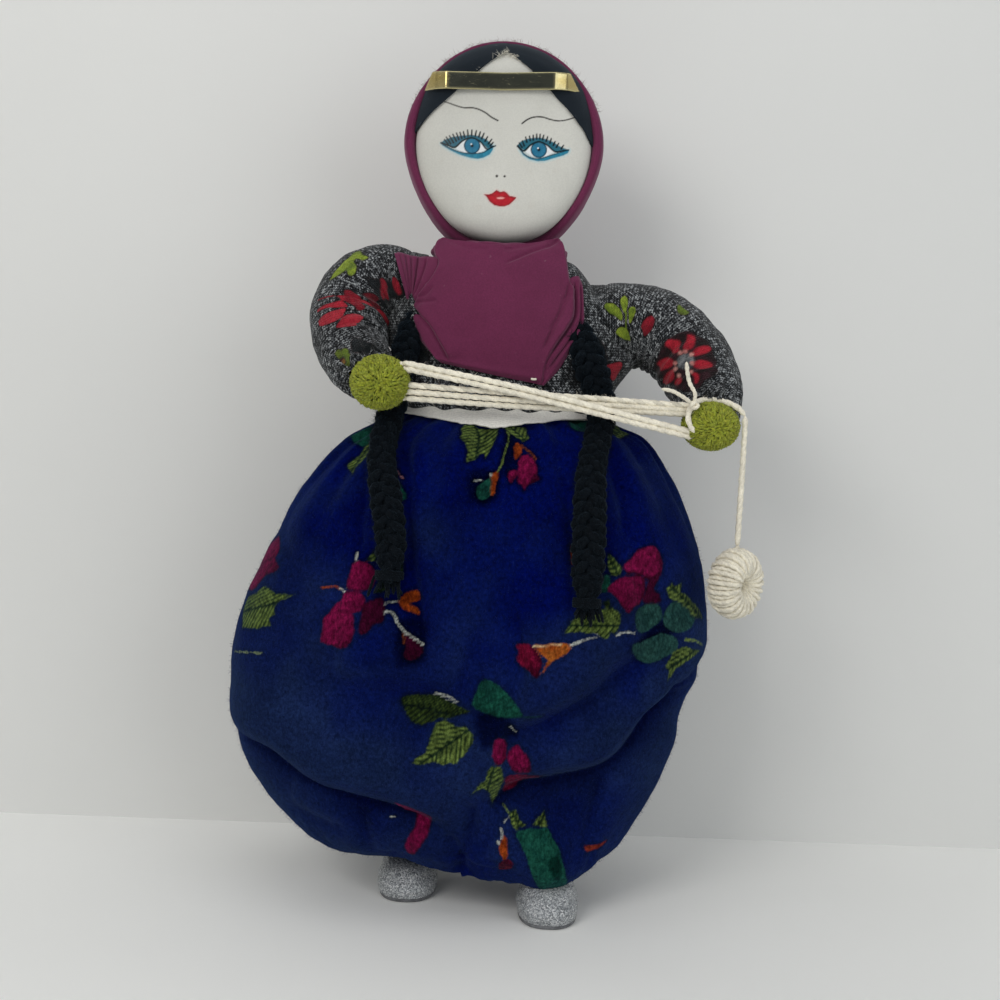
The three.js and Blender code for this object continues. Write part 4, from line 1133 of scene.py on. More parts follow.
# lint that clings round the top of the hood
pile = Pile()
crown = np.nonzero((np.sin(ang) > 0.35))[0]
src = P[8:34][:, crown].reshape(-1, 3)
fuzz(pile, src, unit(src - np.array([0, 4.0, HEAD_Z])), 520, 3.6, 0.062, 91, (0.3, 0.24, 0.27), 2.0)
li = pile.object("hood_lint", MAT_CREAM)
carry(li, "head", "white_cotton")

# -------------------------------------------------------------------- torso
TORSO = np.array([
    [287, -24, 26, -17, 19, 2.2], [284.5, -31, 33, -20.5, 22, 2.4], [279, -36.4, 38.4, -23, 23.6, 2.6], [270, -43.0, 44.4, -25, 24.6, 2.8],
    [257, -49.4, 52, -26, 25, 2.7], [248, -49.0, 59.0, -26, 25, 2.5], [242.4, -46.0, 61.0, -26, 25, 2.4], [236.4, -45.6, 57.8, -26, 25.2, 2.4], [231, -44.8, 54, -26.4, 25.6, 2.5],
    [226, -43.6, 51, -27.4, 26.4, 2.6], [221.6, -42.4, 49, -28.0, 27.2, 2.6], [219.4, -41.2, 47.6, -27.2, 26.6, 2.6], [218.4, -39, 45.4, -25.4, 25, 2.6]])


def loft(table, z, nu, power=True, phase=0.0):
    """Rings of a body from a table of sections, front at the middle of each row."""
    z = np.asarray(z, float)
    xl, xr, yf, yb, n = [pchip(table[:, 0], table[:, k], z)[:, None] for k in (1, 2, 3, 4, 5)]
    fine = np.linspace(-math.pi, math.pi, 2401)
    out = np.zeros((len(z), nu, 3))
    for i in range(len(z)):
        s, c = np.sin(fine), np.cos(fine)
        e = 2 / n[i, 0]
        x = (xl[i, 0] + xr[i, 0]) / 2 + np.sign(s) * np.abs(s) ** e * (xr[i, 0] - xl[i, 0]) / 2
        y = (yf[i, 0] + yb[i, 0]) / 2 - np.sign(c) * np.abs(c) ** e * (yb[i, 0] - yf[i, 0]) / 2
        run = np.concatenate([[0], np.cumsum(np.hypot(np.diff(x), np.diff(y)))])
        u = np.linspace(0, run[-1], nu, endpoint=False)
        out[i, :, 0], out[i, :, 1], out[i, :, 2] = np.interp(u, run, x), np.interp(u, run, y), z[i]
    return out


def cloth_map(p, nrm):
    """Places on the cloth in its own measure, and a way to carry outlines from the picture to them."""
    nv, nu, _ = p.shape
    du = np.linalg.norm(np.diff(np.concatenate([p, p[:, :1]], 1), axis=1), axis=2)
    s = np.concatenate([np.zeros((nv, 1)), np.cumsum(du, 1)], 1)[:, :nu]
    s = s - s[:, [nu // 2]]
    t = np.concatenate([[0], np.cumsum(np.linalg.norm(np.diff(p, axis=0), axis=2).mean(1))])[:, None] + np.zeros((1, nu))
    st = np.stack([s, t], -1).reshape(-1, 2)
    flat = p.reshape(-1, 3)
    px = project(flat)
    facing = ((nrm.reshape(-1, 3) * (CAM_C - flat)).sum(1) > 0)
    ids = np.nonzero(facing)[0]
    tree = KDTree(len(ids))
    for k, i in enumerate(ids):
        tree.insert((px[i, 0], px[i, 1], 0), k)
    tree.balance()

    def to_cloth(q):
        res = []
        for x, y in q:
            near = tree.find_n((x, y, 0), 3)
            w = np.array([1 / (d + 0.05) for _, _, d in near])
            res.append((st[ids[[k for _, k, _ in near]]] * (w / w.sum())[:, None]).sum(0))
        return np.array(res)
    return st, to_cloth


def closed(q, per=6):
    """Smooth closed outline through its points."""
    q = np.asarray(q, float)
    n = len(q)
    f = np.linspace(0, 1, per, endpoint=False)[None, :, None]
    p0, p1, p2, p3 = (np.roll(q, k, 0)[:, None] for k in (1, 0, -1, -2))
    c = 0.5 * (2 * p1 + (p2 - p0) * f + (2 * p0 - 5 * p1 + 4 * p2 - p3) * f ** 2 + (3 * p1 - p0 - 3 * p2 + p3) * f ** 3)
    return c.reshape(-1, 2)


def field(st, q, m, seed=0):
    """Signed distance to a motif and its colour there."""
    if m.get("line"):
        c = curve(q, 30) if len(q) > 2 else q
        d, _, w = line_dist(st, c)
        return d - m["line"] / 2 * (1 - m.get("taper", 0.0) * w), np.tile(np.asarray(m["c"], float), (len(st), 1))
    kind = m.get("tex", "leaf")
    mid = q.mean(0)
    axis = np.linalg.svd(q - mid)[2]
    al = (st - mid) @ axis.T
    if kind == "leaf":
        sd = poly_sd(st, q) + 0.35 * vnoise(st / 1.5, 5 + len(q))
        vein = np.sin(2 * np.pi * (al[:, 0] + 0.85 * np.abs(al[:, 1])) / 2.5 + 1.1 * vnoise(st / 3.0, 7))
        w = 0.5 + 0.5 * vein + 0.35 * vnoise(st / 1.9, 9 + len(q))
        w = w * smoothstep(0.2, 0.9, np.abs(al[:, 1])) * (0.55 + 0.45 * smoothstep(0.3, -0.8, sd))
    elif kind == "petal":
        sd = poly_sd(st, closed(q))
        size = max(np.ptp(al[:, 0][sd < 0]) if (sd < 0).any() else 4.0, 2.0)
        lit = 0.5 - (st - mid) @ np.array([0.75, 0.45]) / size
        w = 0.15 + 0.75 * lit + 0.35 * vnoise(np.stack([al[:, 0] / 3.2, al[:, 1] / 1.2], -1), 3 + len(q)) - 0.35 * smoothstep(-0.9, 0.0, sd)
    else:
        sd = poly_sd(st, closed(q))
        w = smoothstep(-0.5, 0.6, fbm(st / 2.6, 3, 4 + len(q)))
    w = np.clip(w, 0, 1)[:, None]
    return sd, np.asarray(m["c"], float) * (1 - w) + np.asarray(m["c2"], float) * w


def lay_print(st, groups, place):
    """Print of a panel: colours, and in alpha how deep inside a motif each point is."""
    best = np.full(len(st), 9.0)
    col = np.tile(np.array([0.02, 0.03, 0.03]), (len(st), 1))
    for g in groups:
        for m in g:
            if "ink" in m:
                continue
            if "mm" in m:
                q = np.asarray(m["mm"], float)
            elif "round" in m:
                x_, y_, r_, *off = m["round"]
                k_ = np.linspace(0, 2 * np.pi, 12, endpoint=False)
                q = place(np.array([[x_, y_]], float))[0] + (off or (0, 0)) + r_ * np.stack([np.cos(k_), np.sin(k_)], 1)
            else:
                q = place(np.array(m["at"], float))
            sel = np.all((st > q.min(0) - 6) & (st < q.max(0) + 6), 1)
            if not sel.any():
                continue
            sd, c = field(st[sel], q, m)
            a = smoothstep(0.55, -0.55, sd) * m.get("a", 1.0)
            near = (sd < best[sel]) & (best[sel] > 0.2)
            a = np.where(near, 1.0, a)[:, None]
            col[sel] = col[sel] * (1 - a) + c * a
            best[sel] = np.minimum(best[sel], sd)
    return np.column_stack([col, np.clip(0.5 - best / 6.0, 0, 1)])


def lay_ink(st, groups, place):
    """How dark the ground is inked beside the motifs."""
    dark = np.zeros(len(st))
    for m in (m for g in groups for m in g if "ink" in m):
        q = place(np.array(m["at"], float))
        dark = np.maximum(dark, m["ink"] * smoothstep(2.4, -1.6, poly_sd(st, closed(q))))
    return dark


def ring_of(c, r, n=12):
    k = np.linspace(0, 2 * np.pi, n, endpoint=False)
    return np.asarray(c) + r * np.stack([np.cos(k), np.sin(k)], 1)


def daisy(c, r, turn=0.2):
    """A flower laid straight on the cloth."""
    c = np.asarray(c, float)
    out = [dict(mm=ring_of(c, r, 16), c=lin("#15100f"), c2=lin("#341820"), tex="spot", a=0.92), dict(mm=ring_of(c, 0.3 * r), c=lin("#3c4044"), c2=lin("#85888a"), tex="spot")]
    for k in np.arange(8) * math.pi / 4 + turn:
        d, e = np.array([math.cos(k), math.sin(k)]), np.array([-math.sin(k), math.cos(k)])
        a = np.linspace(0, 2 * np.pi, 10, endpoint=False)
        out.append(dict(mm=c + d * 0.63 * r + 0.29 * r * np.cos(a)[:, None] * d + 0.15 * r * np.sin(a)[:, None] * e, c=RED, c2=REDB, tex="petal"))
        out.append(dict(mm=ring_of(c + d * 0.32 * r, 0.07 * r, 8), c=lin("#d29a90"), c2=lin("#b76a66"), tex="spot"))
    return out


def sprig(c, size, turn):
    """Four leaves on a stem, laid straight on the cloth."""
    c = np.asarray(c, float)
    d, e = np.array([math.cos(turn), math.sin(turn)]), np.array([-math.sin(turn), math.cos(turn)])
    out = [dict(mm=np.array([c - d * size, c, c + d * size * 0.7]), line=0.9, c=LIME, taper=0.2)]
    for along, side in ((-0.5, 1), (-0.1, -1), (0.3, 1), (0.8, -0.2)):
        m_ = c + d * along * size + e * side * 0.42 * size
        ax = unit(0.5 * d + side * e)
        pe = np.array([-ax[1], ax[0]])
        a = np.linspace(0, 2 * np.pi, 8, endpoint=False)
        out.append(dict(mm=m_ + 0.4 * size * np.cos(a)[:, None] * ax + 0.17 * size * np.sin(a)[:, None] * pe, c=LIME, c2=LIME2, tex="spot"))
    return out


def merged(*layers):
    col = np.stack(layers)
    return np.take_along_axis(col, col[..., 3].argmax(0)[None, :, None], 0)[0]


RED, RED2, MAROON = lin("#8d1828"), lin("#a82c38"), lin("#3d1218")
LIME, LIME2, OLIVE = lin("#5c7020"), lin("#8b9c31"), lin("#4c5220")
BLACKP = lin("#0e1214")
REDB, REDD = lin("#b02231"), lin("#68111e")

# blouse
z = np.concatenate([np.linspace(286.9, 222, 104), np.linspace(221.6, 218.4, 12)])
P = loft(TORSO, z, 220)
P[0, :, :2] = P[0, :, :2] * 0.4
nr = grid_normals(P, True, True)
if (nr[60, 110] @ np.array([0, -1.0, 0])) < 0:
    nr = -nr
wr = 0.55 * fbm(P / np.array([9, 14, 13]), 3, 101) + 0.5 * np.sin(P[..., 0] * 0.55 + 2 * fbm(P / 18, 2, 102)) * smoothstep(246, 228, P[..., 2])
P = P + nr * wr[..., None]
DARKP = lin("#1b2023")
LEAVES_L = [
    dict(at=[(604.5, 305), (612, 303.3), (618.7, 308.3), (622, 315), (621.2, 320.8), (613.7, 315), (607, 310)], c=LIME, c2=LIME2, tex="spot"),
    dict(at=[(620.3, 301.7), (624.5, 295.8), (627.8, 300), (627, 308.3), (624.5, 313.3)], c=LIME, c2=LIME2, tex="spot"),
    dict(at=[(628.7, 310), (633.7, 306.7), (635.3, 311.7), (632, 320), (629.5, 323.3)], c=LIME, c2=LIME2, tex="spot"),
    dict(at=[(626.2, 313.3), (626, 325), (627, 340)], line=0.9, c=LIME, taper=0.2),
    dict(at=[(616.2, 331.7), (620.3, 327.5), (627, 330), (630.3, 340), (625.3, 340), (618.7, 335.8)], c=LIME, c2=LIME2, tex="spot"),
    dict(at=[(605.3, 366.7), (613, 364), (621.2, 362.5), (620.3, 370), (613.7, 380.8), (609.5, 376.7)], c=RED, c2=RED2, tex="petal"),
]
BLOUSE = [
    dict(at=[(398, 332), (409, 318), (428, 356), (422, 363), (404, 361)], c=BLACKP, c2=DARKP, tex="spot"),
    dict(at=[(592, 338), (604, 345), (607, 362), (602, 385), (585, 384), (575, 372)], c=BLACKP, c2=DARKP, tex="spot"),
] + LEAVES_L
stb, to_b = cloth_map(P, nr)
def place_on(p, st, at):
    return st[((p.reshape(-1, 3) - np.asarray(at)) ** 2).sum(1).argmin()]


backs = daisy(place_on(P, stb, (-33, 22, 246)), 8.5) + daisy(place_on(P, stb, (37, 22, 240)), 8.5, 0.5) + sprig(place_on(P, stb, (-22, 25, 231)), 6.5, 0.4) + sprig(place_on(P, stb, (24, 24, 262)), 6.5, 2.2)
col = merged(lay_print(stb, [BLOUSE], to_b), lay_print(stb, [backs], None))
blouse = grid_object("blouse_knit", P, MAT_KNIT, wrap=True, flip=True, color=col)
carry(blouse, "torso", "printed_knit", "blouse", "torso_stuffing", "spine_stick")

# white undershirt edge at the waist, hanging over the trouser top
WB = np.array([[224, -39.6, 46.2, -25.8, 25.6, 2.6], [219, -41.4, 48.0, -27.6, 27.2, 2.6], [216, -44.6, 51.4, -30.6, 29.6, 2.6], [211, -54.6, 62.0, -36.0, 34.4, 2.6]])
PD = loft(WB, np.linspace(224, 211, 130), 300)
ua = np.arctan2(PD[60, :, 0] - 3, -PD[60, :, 1])
ahead = np.exp(-((ua + 0.1) / 0.72) ** 2)
zend = 217.6 - 4.3 * ahead + (0.4 + ahead) * (0.8 * fbm(np.stack([ua * 2.6, ua * 0], -1), 2, 113) + 0.4 * fbm(np.stack([ua * 9, ua * 0], -1), 2, 114))
zt = 223 - np.linspace(0, 1, 30)[:, None] * (223 - zend)[None]
ki = (224 - zt) / 13 * 129
k0 = np.clip(ki.astype(int), 0, 128)
kf = (ki - k0)[..., None]
cols = np.arange(300)[None]
P = PD[k0, cols] * (1 - kf) + PD[k0 + 1, cols] * kf
nr = grid_normals(P, True, True)
if (nr[10, 150] @ np.array([0, -1.0, 0])) < 0:
    nr = -nr
fall = smoothstep(222, 215, P[..., 2])
ug = np.repeat(ua[None], 30, 0)
rip = 0.9 * fbm(np.stack([ug * 4.2, P[..., 2] / 30], -1), 2, 111) + 0.35 * fbm(np.stack([ug * 13, P[..., 2] / 14], -1), 2, 112)
P = P + nr * (rip * fall + 0.3 + 1.5 * smoothstep(-4, 16, P[..., 1]) * fall)[..., None]
waist = grid_object("waist_edge", P, MAT_WHITE, wrap=True, flip=True)
thicken(waist, 0.9, -1.0)
carry(waist, "torso", "white_cotton", "waistband")
cloth_sheet(waist, P, True)


# ------------------------------------------------------------- scarf and bib
def coons(top, bottom, left, right, nu, nv):
    """Patch (x, z) filled in from four edges."""
    T, B, L, R = curve(np.array(top), nu), curve(np.array(bottom), nu), curve(np.array(left), nv), curve(np.array(right), nv)
    u = np.linspace(0, 1, nu)[None, :, None]
    v = np.linspace(0, 1, nv)[:, None, None]
    s = (1 - v) * T[None] + v * B[None] + (1 - u) * L[:, None] + u * R[:, None]
    return s - ((1 - u) * (1 - v) * T[0] + u * (1 - v) * T[-1] + (1 - u) * v * B[0] + u * v * B[-1])


def creases(px, lines):
    """Height field of sharp folds: each line is (points, depth, width, lift, lift width, drop, drop width)."""
    h = np.zeros(len(px))
    for pts, depth, width, lift, lw, drop, dw in lines:
        c = curve(np.array(pts, float), 60)
        d, side, t = line_dist(px, c)
        end = smoothstep(0.0, 0.1, t) * smoothstep(1.0, 0.86, t)
        end = np.maximum(end, 0.0)
        h -= depth * np.exp(-(d / width) ** 2) * end
        h += np.where(side > 0, lift * (d / lw) * np.exp(1 - d / lw), 0) * end * (d < 6 * lw)
        h -= np.where(side < 0, drop * np.exp(-(d / dw)), 0) * end * smoothstep(0, width, d)
    return h


BIB_F = np.array([[293, -20.6], [289, -22.6], [284, -24.2], [279, -26], [270, -27.8], [257, -28.8], [243, -28.8], [229, -28.4]])
BIB_X = np.array([[293, 33], [289, 36], [284, 39], [279, 41], [270, 42.6], [257, 43.4], [243, 43], [229, 42]])


def chest(x, z):
    """Depth of the cloth lying on the chest and over the right shoulder."""
    yf = pchip(BIB_F[:, 0], BIB_F[:, 1], z)
    hxx = pchip(BIB_X[:, 0], BIB_X[:, 1], z)
    k = np.clip(np.abs(x - 1.5) / hxx, 0, 1)
    y = 2 + (yf - 2) * np.maximum(1 - k ** 3.0, 0) ** (1 / 3.0)
    arm = 2 - np.sqrt(np.maximum(19.2 ** 2 - (z - 271.4) ** 2, 0)) - 1.2
    arm = np.where(x < -30, arm, 99)
    m = np.minimum(y, arm)
    return m


def on_chest(pts, lift=0.0):
    """Picture places carried back onto the cloth on the chest, as (x, z)."""
    res = []
    for px_, py_ in pts:
        y_ = -24.0
        for _ in range(6):
            q = at_depth(px_, py_, y_)
            y_ = 0.5 * y_ + 0.5 * (float(chest(np.array([q[0]]), np.array([q[2]]))[0]) - lift)
        res.append((q[0], q[2]))
    return res


def scarf_panel(name, top, bottom, left, right, nu, nv, lines, lift, turned, seed, extra=None):
    """One layer of the scarf on the chest, outlined in the picture, with its creases; turned edges are left, right, top, bottom."""
    xz = coons(on_chest(top, lift), on_chest(bottom, lift), on_chest(left, lift), on_chest(right, lift), nu, nv)
    x, z = xz[..., 0], xz[..., 1]
    y = chest(x, z)
    for _ in range(14):
        y[1:-1, 1:-1] = 0.2 * (y[1:-1, 1:-1] + y[:-2, 1:-1] + y[2:, 1:-1] + y[1:-1, :-2] + y[1:-1, 2:])
    P = np.stack([x, y - lift, z], -1)
    h = creases(project(P.reshape(-1, 3)), lines).reshape(y.shape)
    h += 0.45 * fbm(P / 16.0, 3, seed) + 0.12 * fbm(P / 4.0, 2, seed + 1)
    if extra is not None:
        h = h + extra(x, z)
    iu, iv = np.arange(nu)[None] + np.zeros((nv, 1)), np.arange(nv)[:, None] + np.zeros((1, nu))
    du, dv = np.linalg.norm(P[:, 1] - P[:, 0], axis=1).mean() + 1e-6, np.linalg.norm(P[1] - P[0], axis=1).mean() + 1e-6
    for k, d in zip(turned, (iu * du, (nu - 1 - iu) * du, iv * dv, (nv - 1 - iv) * dv)):
        h = h - k * np.exp(-(d / 1.1) ** 2) + 0.35 * k * np.exp(-((d - 2.2) / 1.4) ** 2)
    nr = grid_normals(P, False, True)
    if (nr[nv // 2, nu // 2] @ np.array([0, -1.0, 0])) < 0:
        nr = -nr
    P = P + nr * h[..., None]
    ob = grid_object(name, P, MAT_PLUM, flip=True)
    thicken(ob, 0.6, -1.0)
    return ob, P


def b(pts):
    return [(380 + a / 6.533, 230 + c / 6.533) for a, c in pts]


MAIN_LINES = [
    (b([(1190, 48), (1120, 100), (1000, 142), (900, 186), (800, 226)]), 0.7, 1.5, 1.0, 6, 0.5, 10),
    (b([(1245, 330), (1222, 430), (1180, 550), (1110, 690), (1060, 800)]), 1.2, 1.7, 0.6, 6, 0.1, 5),
    (b([(1205, 420), (1170, 540), (1100, 670)]), 0.5, 2.0, 0.4, 5, 0.0, 5),
    (b([(214, 505), (270, 570), (330, 640), (400, 765), (455, 870)]), 1.2, 1.4, 0.8, 5, 0.2, 4),
    (b([(200, 545), (240, 650), (290, 745), (360, 850)]), 0.9, 1.3, 0.4, 3, 0.2, 4),
    (b([(215, 470), (300, 470), (380, 455)]), 0.5, 2.2, 0.3, 5, 0, 5),
    (b([(225, 452), (300, 420), (350, 360)]), 0.5, 2.0, 0.4, 5, 0, 5),
    (b([(1090, 60), (1000, 92), (900, 118), (790, 130)]), 0.35, 2.2, 0.4, 6, 0.2, 6),
    (b([(440, 60), (520, 95), (620, 118), (720, 124)]), 0.35, 2.2, 0.3, 6, 0.2, 6),
]
bib, P = scarf_panel("scarf_bib_cloth",
                     [(441, 237), (455, 240), (480, 243.5), (500, 244.5), (525, 243), (548, 239.5), (561, 238)],
                     [(438, 362), (460, 367.5), (482, 372.5), (507, 378), (532, 383), (543.5, 386)],
                     [(441, 237), (435, 240.5), (432.5, 247.6), (434, 255), (437, 261), (433, 271), (423, 286), (415, 297), (409.5, 306.5), (408.8, 315), (412, 326), (419, 340), (431, 355), (438, 362)],
                     [(561, 238), (564.5, 244), (568, 258), (569.5, 270), (571, 279), (574.6, 288), (575, 300), (574.4, 316), (568, 328), (557, 344), (549, 359), (545, 373), (543.5, 386)],
                     200, 190, MAIN_LINES, 1.0, (1.3, 1.3, 0.0, 1.2), 121,
                     lambda x, z: 1.2 * np.exp(-(((x + 2) / 24) ** 2 + ((z - 262) / 20) ** 2)) - 1.6 * np.exp(-(np.hypot(x + 38.2, z - 261.2) / 3.0) ** 2))
carry(bib, "torso", "plum_cotton", "scarf_bib")
cloth_sheet(bib, P)
BIB_P, BIB_PX = P.reshape(-1, 3), project(P.reshape(-1, 3))

# gathered corner over the right shoulder, under the main layer
flap, P = scarf_panel("scarf_flap_right",
                      [(393.5, 249), (402, 252), (411.5, 254.4), (424, 255.6), (438, 256)], [(408.4, 308), (409.6, 308.4), (411, 308.6), (412.4, 308.4), (414, 308)],
                      [(393.5, 249), (396, 258), (398.6, 268), (404, 288.7), (408.4, 308)], [(438, 256), (437, 266), (430, 280), (421, 294), (414, 308)],
                      90, 90, [
    (b([(125, 140), (150, 240), (180, 370), (200, 470)]), 0.8, 1.0, 0.5, 2.0, 0, 3), (b([(165, 150), (180, 260), (196, 380), (206, 480)]), 1.0, 1.1, 0.6, 2.2, 0, 3),
    (b([(205, 155), (206, 260), (207, 380), (209, 480)]), 1.0, 1.1, 0.6, 2.2, 0, 3), (b([(255, 160), (240, 270), (224, 390), (212, 480)]), 1.0, 1.1, 0.6, 2.2, 0, 3),
    (b([(310, 165), (280, 280), (245, 390), (216, 480)]), 1.0, 1.1, 0.5, 2.2, 0, 3)], 0.0, (0.8, 0.0, 0.6, 0.0), 123)
carry(flap, "torso", "plum_cotton")
cloth_sheet(flap, P)

# folded edge down the left side, under the main layer
pleat_, P = scarf_panel("scarf_pleat_left",
                        [(565, 282), (570, 278.4), (575, 276), (579, 276), (583.4, 278.4)], [(540, 382), (541, 383.6), (542, 384.8), (543, 385.6), (544, 386)],
                        [(565, 282), (567, 300), (565, 318), (556, 338), (547, 356), (541, 370), (540, 382)], [(583.4, 278.4), (583.6, 290), (584, 305), (585, 322), (583.4, 333), (574, 347), (560, 369), (552, 378), (544, 386)],
                        60, 150, [
    (b([(1276, 320), (1278, 420), (1276, 540), (1262, 590), (1190, 700), (1110, 810), (1060, 900)]), 1.4, 1.2, 0.6, 2.6, 0.0, 4),
    (b([(1308, 330), (1312, 430), (1312, 540), (1300, 620), (1240, 720), (1160, 830), (1090, 930)]), 1.3, 1.1, 0.7, 2.2, 0.0, 4)], 0.2, (0.0, 1.0, 0.5, 0.0), 125)
carry(pleat_, "torso", "plum_cotton")
cloth_sheet(pleat_, P)

# the white stitch and a speck of lint caught at the point
pile = Pile()
for a_, r_ in ((b([(222, 488), (200, 496), (187, 520), (184, 552)]), 0.42), (b([(985, 972), (1003, 974), (1020, 976)]), 0.5)):
    pts = []
    for q in a_:
        k = int(np.argmin(((BIB_PX - np.array(q)) ** 2).sum(1)))
        pts.append(BIB_P[k] + np.array([0, -0.35, 0]))
    v, f = tube(curve(np.array(pts), 16), np.full(16, r_) * np.concatenate([[0.5], np.ones(14), [0.5]]), 7)
    pile.add(v, f, 0.95)
st = pile.object("bib_stitch", MAT_CREAM)
carry(st, "torso", "cream_yarn")

# neck: the scarf rolled round under the hood
nu, nv = 260, 40
ua = np.linspace(-math.pi, math.pi, nu, endpoint=False)
va = np.linspace(0, 2 * math.pi, nv, endpoint=False)
U, V = np.meshgrid(ua, va)
lump = 1 + 0.16 * fbm(np.stack([np.cos(U) * 2.2, np.sin(U) * 2.2], -1), 2, 131) + 0.28 * np.exp(-(np.angle(np.exp(1j * (U + 1.75))) / 0.35) ** 2)
twist = 0.35 * np.sin(3 * V + 7 * U) + 0.25 * np.sin(5 * V - 9 * U + 1)
rr = 3.6 * lump + twist
cx, cy = 0.5 + 26.2 * np.sin(U), 1.4 - 21.2 * np.cos(U)
P = np.stack([cx + rr * np.cos(V) * np.sin(U), cy - rr * np.cos(V) * np.cos(U), 288.6 + 0.86 * rr * np.sin(V)], -1)
neck = grid_object("neck_roll", P, MAT_PLUM, wrap=True, flip=False)
# close the roll by joining its first and last rows
me = neck.data
nvv, nuu = nv, nu
bm_faces = [list(p.vertices) for p in me.polygons]
bm_faces += [[(nvv - 1) * nuu + j, (nvv - 1) * nuu + (j + 1) % nuu, (j + 1) % nuu, j] for j in range(nuu)]
bpy.data.objects.remove(neck)
neck = build("neck_roll", P.reshape(-1, 3), bm_faces, MAT_PLUM, None, np.stack([np.tile(P.reshape(-1, 3)[np.array(bm_faces).ravel()][:, 0], 1), P.reshape(-1, 3)[np.array(bm_faces).ravel()][:, 2]], 1))
carry(neck, "torso", "plum_cotton", "neck_wrap")

# back corner of the scarf: a straight-sided point that hangs from under the neck roll
nu, nv = 120, 130
xz = coons([(-28.5, 287.6), (-15, 289.6), (0.6, 290.2), (16, 289.6), (29.5, 287.6)], [(-0.8, 226.8), (0.1, 226.3), (1, 226.1), (1.9, 226.3), (2.8, 226.8)],
           [(-28.5, 287.6), (-26.2, 281), (-20.0, 265.4), (-10.8, 245.6), (-0.8, 226.8)], [(29.5, 287.6), (27.2, 281), (21.4, 265.4), (12.6, 245.6), (2.8, 226.8)], nu, nv)
x, z = xz[..., 0], xz[..., 1]
xl_, xr_, yf_, yb_, n_t = [pchip(TORSO[:, 0], TORSO[:, k], z) for k in (1, 2, 3, 4, 5)]
k = np.clip(np.abs(x - (xl_ + xr_) / 2) / ((xr_ - xl_) / 2 + 2.6), 0, 1)
y = (yf_ + yb_) / 2 + ((yb_ - yf_) / 2 + 2.8 + 2.2 * smoothstep(282, 290, z)) * np.maximum(1 - k ** n_t, 0) ** (1 / n_t)
fan = np.arctan2(x - 1.0, z - 214)
h = 1.1 * np.sin(fan * 21 + 1.8 * fbm(np.stack([x / 16, z / 16], -1), 2, 141)) * smoothstep(230, 262, z) + 0.5 * fbm(np.stack([x / 9, z / 13], -1), 3, 142)
rim_d = np.minimum(x - x[:, :1], x[:, -1:] - x)
h += 0.5 * smoothstep(3.4, 2.8, rim_d) - 0.7 * np.exp(-(rim_d / 0.6) ** 2) - 0.35 * np.exp(-((rim_d - 3.4) / 0.35) ** 2)
P = np.stack([x, y + h, z], -1)
back = grid_object("scarf_back_cloth", P, MAT_PLUM, flip=False)
thicken(back, 0.7, 1.0)
carry(back, "torso", "plum_cotton", "scarf_back")
cloth_sheet(back, P)


# --------------------------------------------------------------------- arms
ARM_RIGHT = [[-33, 2, 270.4, 16.6], [-40.5, 2, 271, 17.2], [-52, 0.4, 272.4, 18.2], [-61, -4.5, 267, 18.2], [-64.6, -11, 256, 17.4], [-62, -20.5, 243.6, 15.8], [-55.6, -31, 235, 12.6], [-52.6, -35.2, 232.6, 9.6]]
ARM_LEFT = [[38, 2, 259.6, 16.6], [45.5, 2, 259, 17.8], [61, 0.4, 259, 18.6], [75, -4.5, 254.6, 18.2], [85.6, -12.5, 243.4, 17.4], [91.4, -22, 231, 15.6], [92.6, -31, 222.6, 12.0], [92.4, -34.6, 220.2, 9.4]]


def sleeve(name, arm, motifs, seed, nodes, flat_side):
    nv, nu = 170, 150
    c = curve(arm, nv)
    t, n, bb = transport(c[:, :3])
    a = np.linspace(0, 2 * np.pi, nu, endpoint=False)
    radial = np.cos(a)[None, :, None] * n[:, None] + np.sin(a)[None, :, None] * bb[:, None]
    P = c[:, None, :3] + c[:, 3][:, None, None] * radial
    # which way the arm bends at each point, for folds inside the elbow
    turn = unit(np.gradient(unit(np.gradient(c[:, :3], axis=0)), axis=0) + 1e-9)
    inner = np.clip((radial * turn[:, None]).sum(-1), 0, 1)
    s = np.linspace(0, 1, nv)[:, None]
    along = np.concatenate([[0], np.cumsum(np.linalg.norm(np.diff(c[:, :3], axis=0), axis=1))])[:, None]
    h = 0.8 * fbm(P / 13.0, 3, seed) + 0.3 * fbm(P / 5.0, 2, seed + 1)
    h += -1.5 * inner ** 1.5 * (0.5 + 0.5 * np.sin(along * 0.85 + 1.6 * fbm(P / 15.0, 2, seed + 2))) * smoothstep(0.2, 0.35, s) * smoothstep(0.9, 0.7, s)
    h += 0.8 * np.sin(a[None] * 13 + 2 * fbm(P / 20.0, 2, seed + 3)) * smoothstep(0.8, 0.97, s)
    h -= 0.5 * np.exp(-((s - 0.115) / 0.012) ** 2)           # armhole seam
    P = P + radial * h[..., None]
    return P, radial, nv, nu


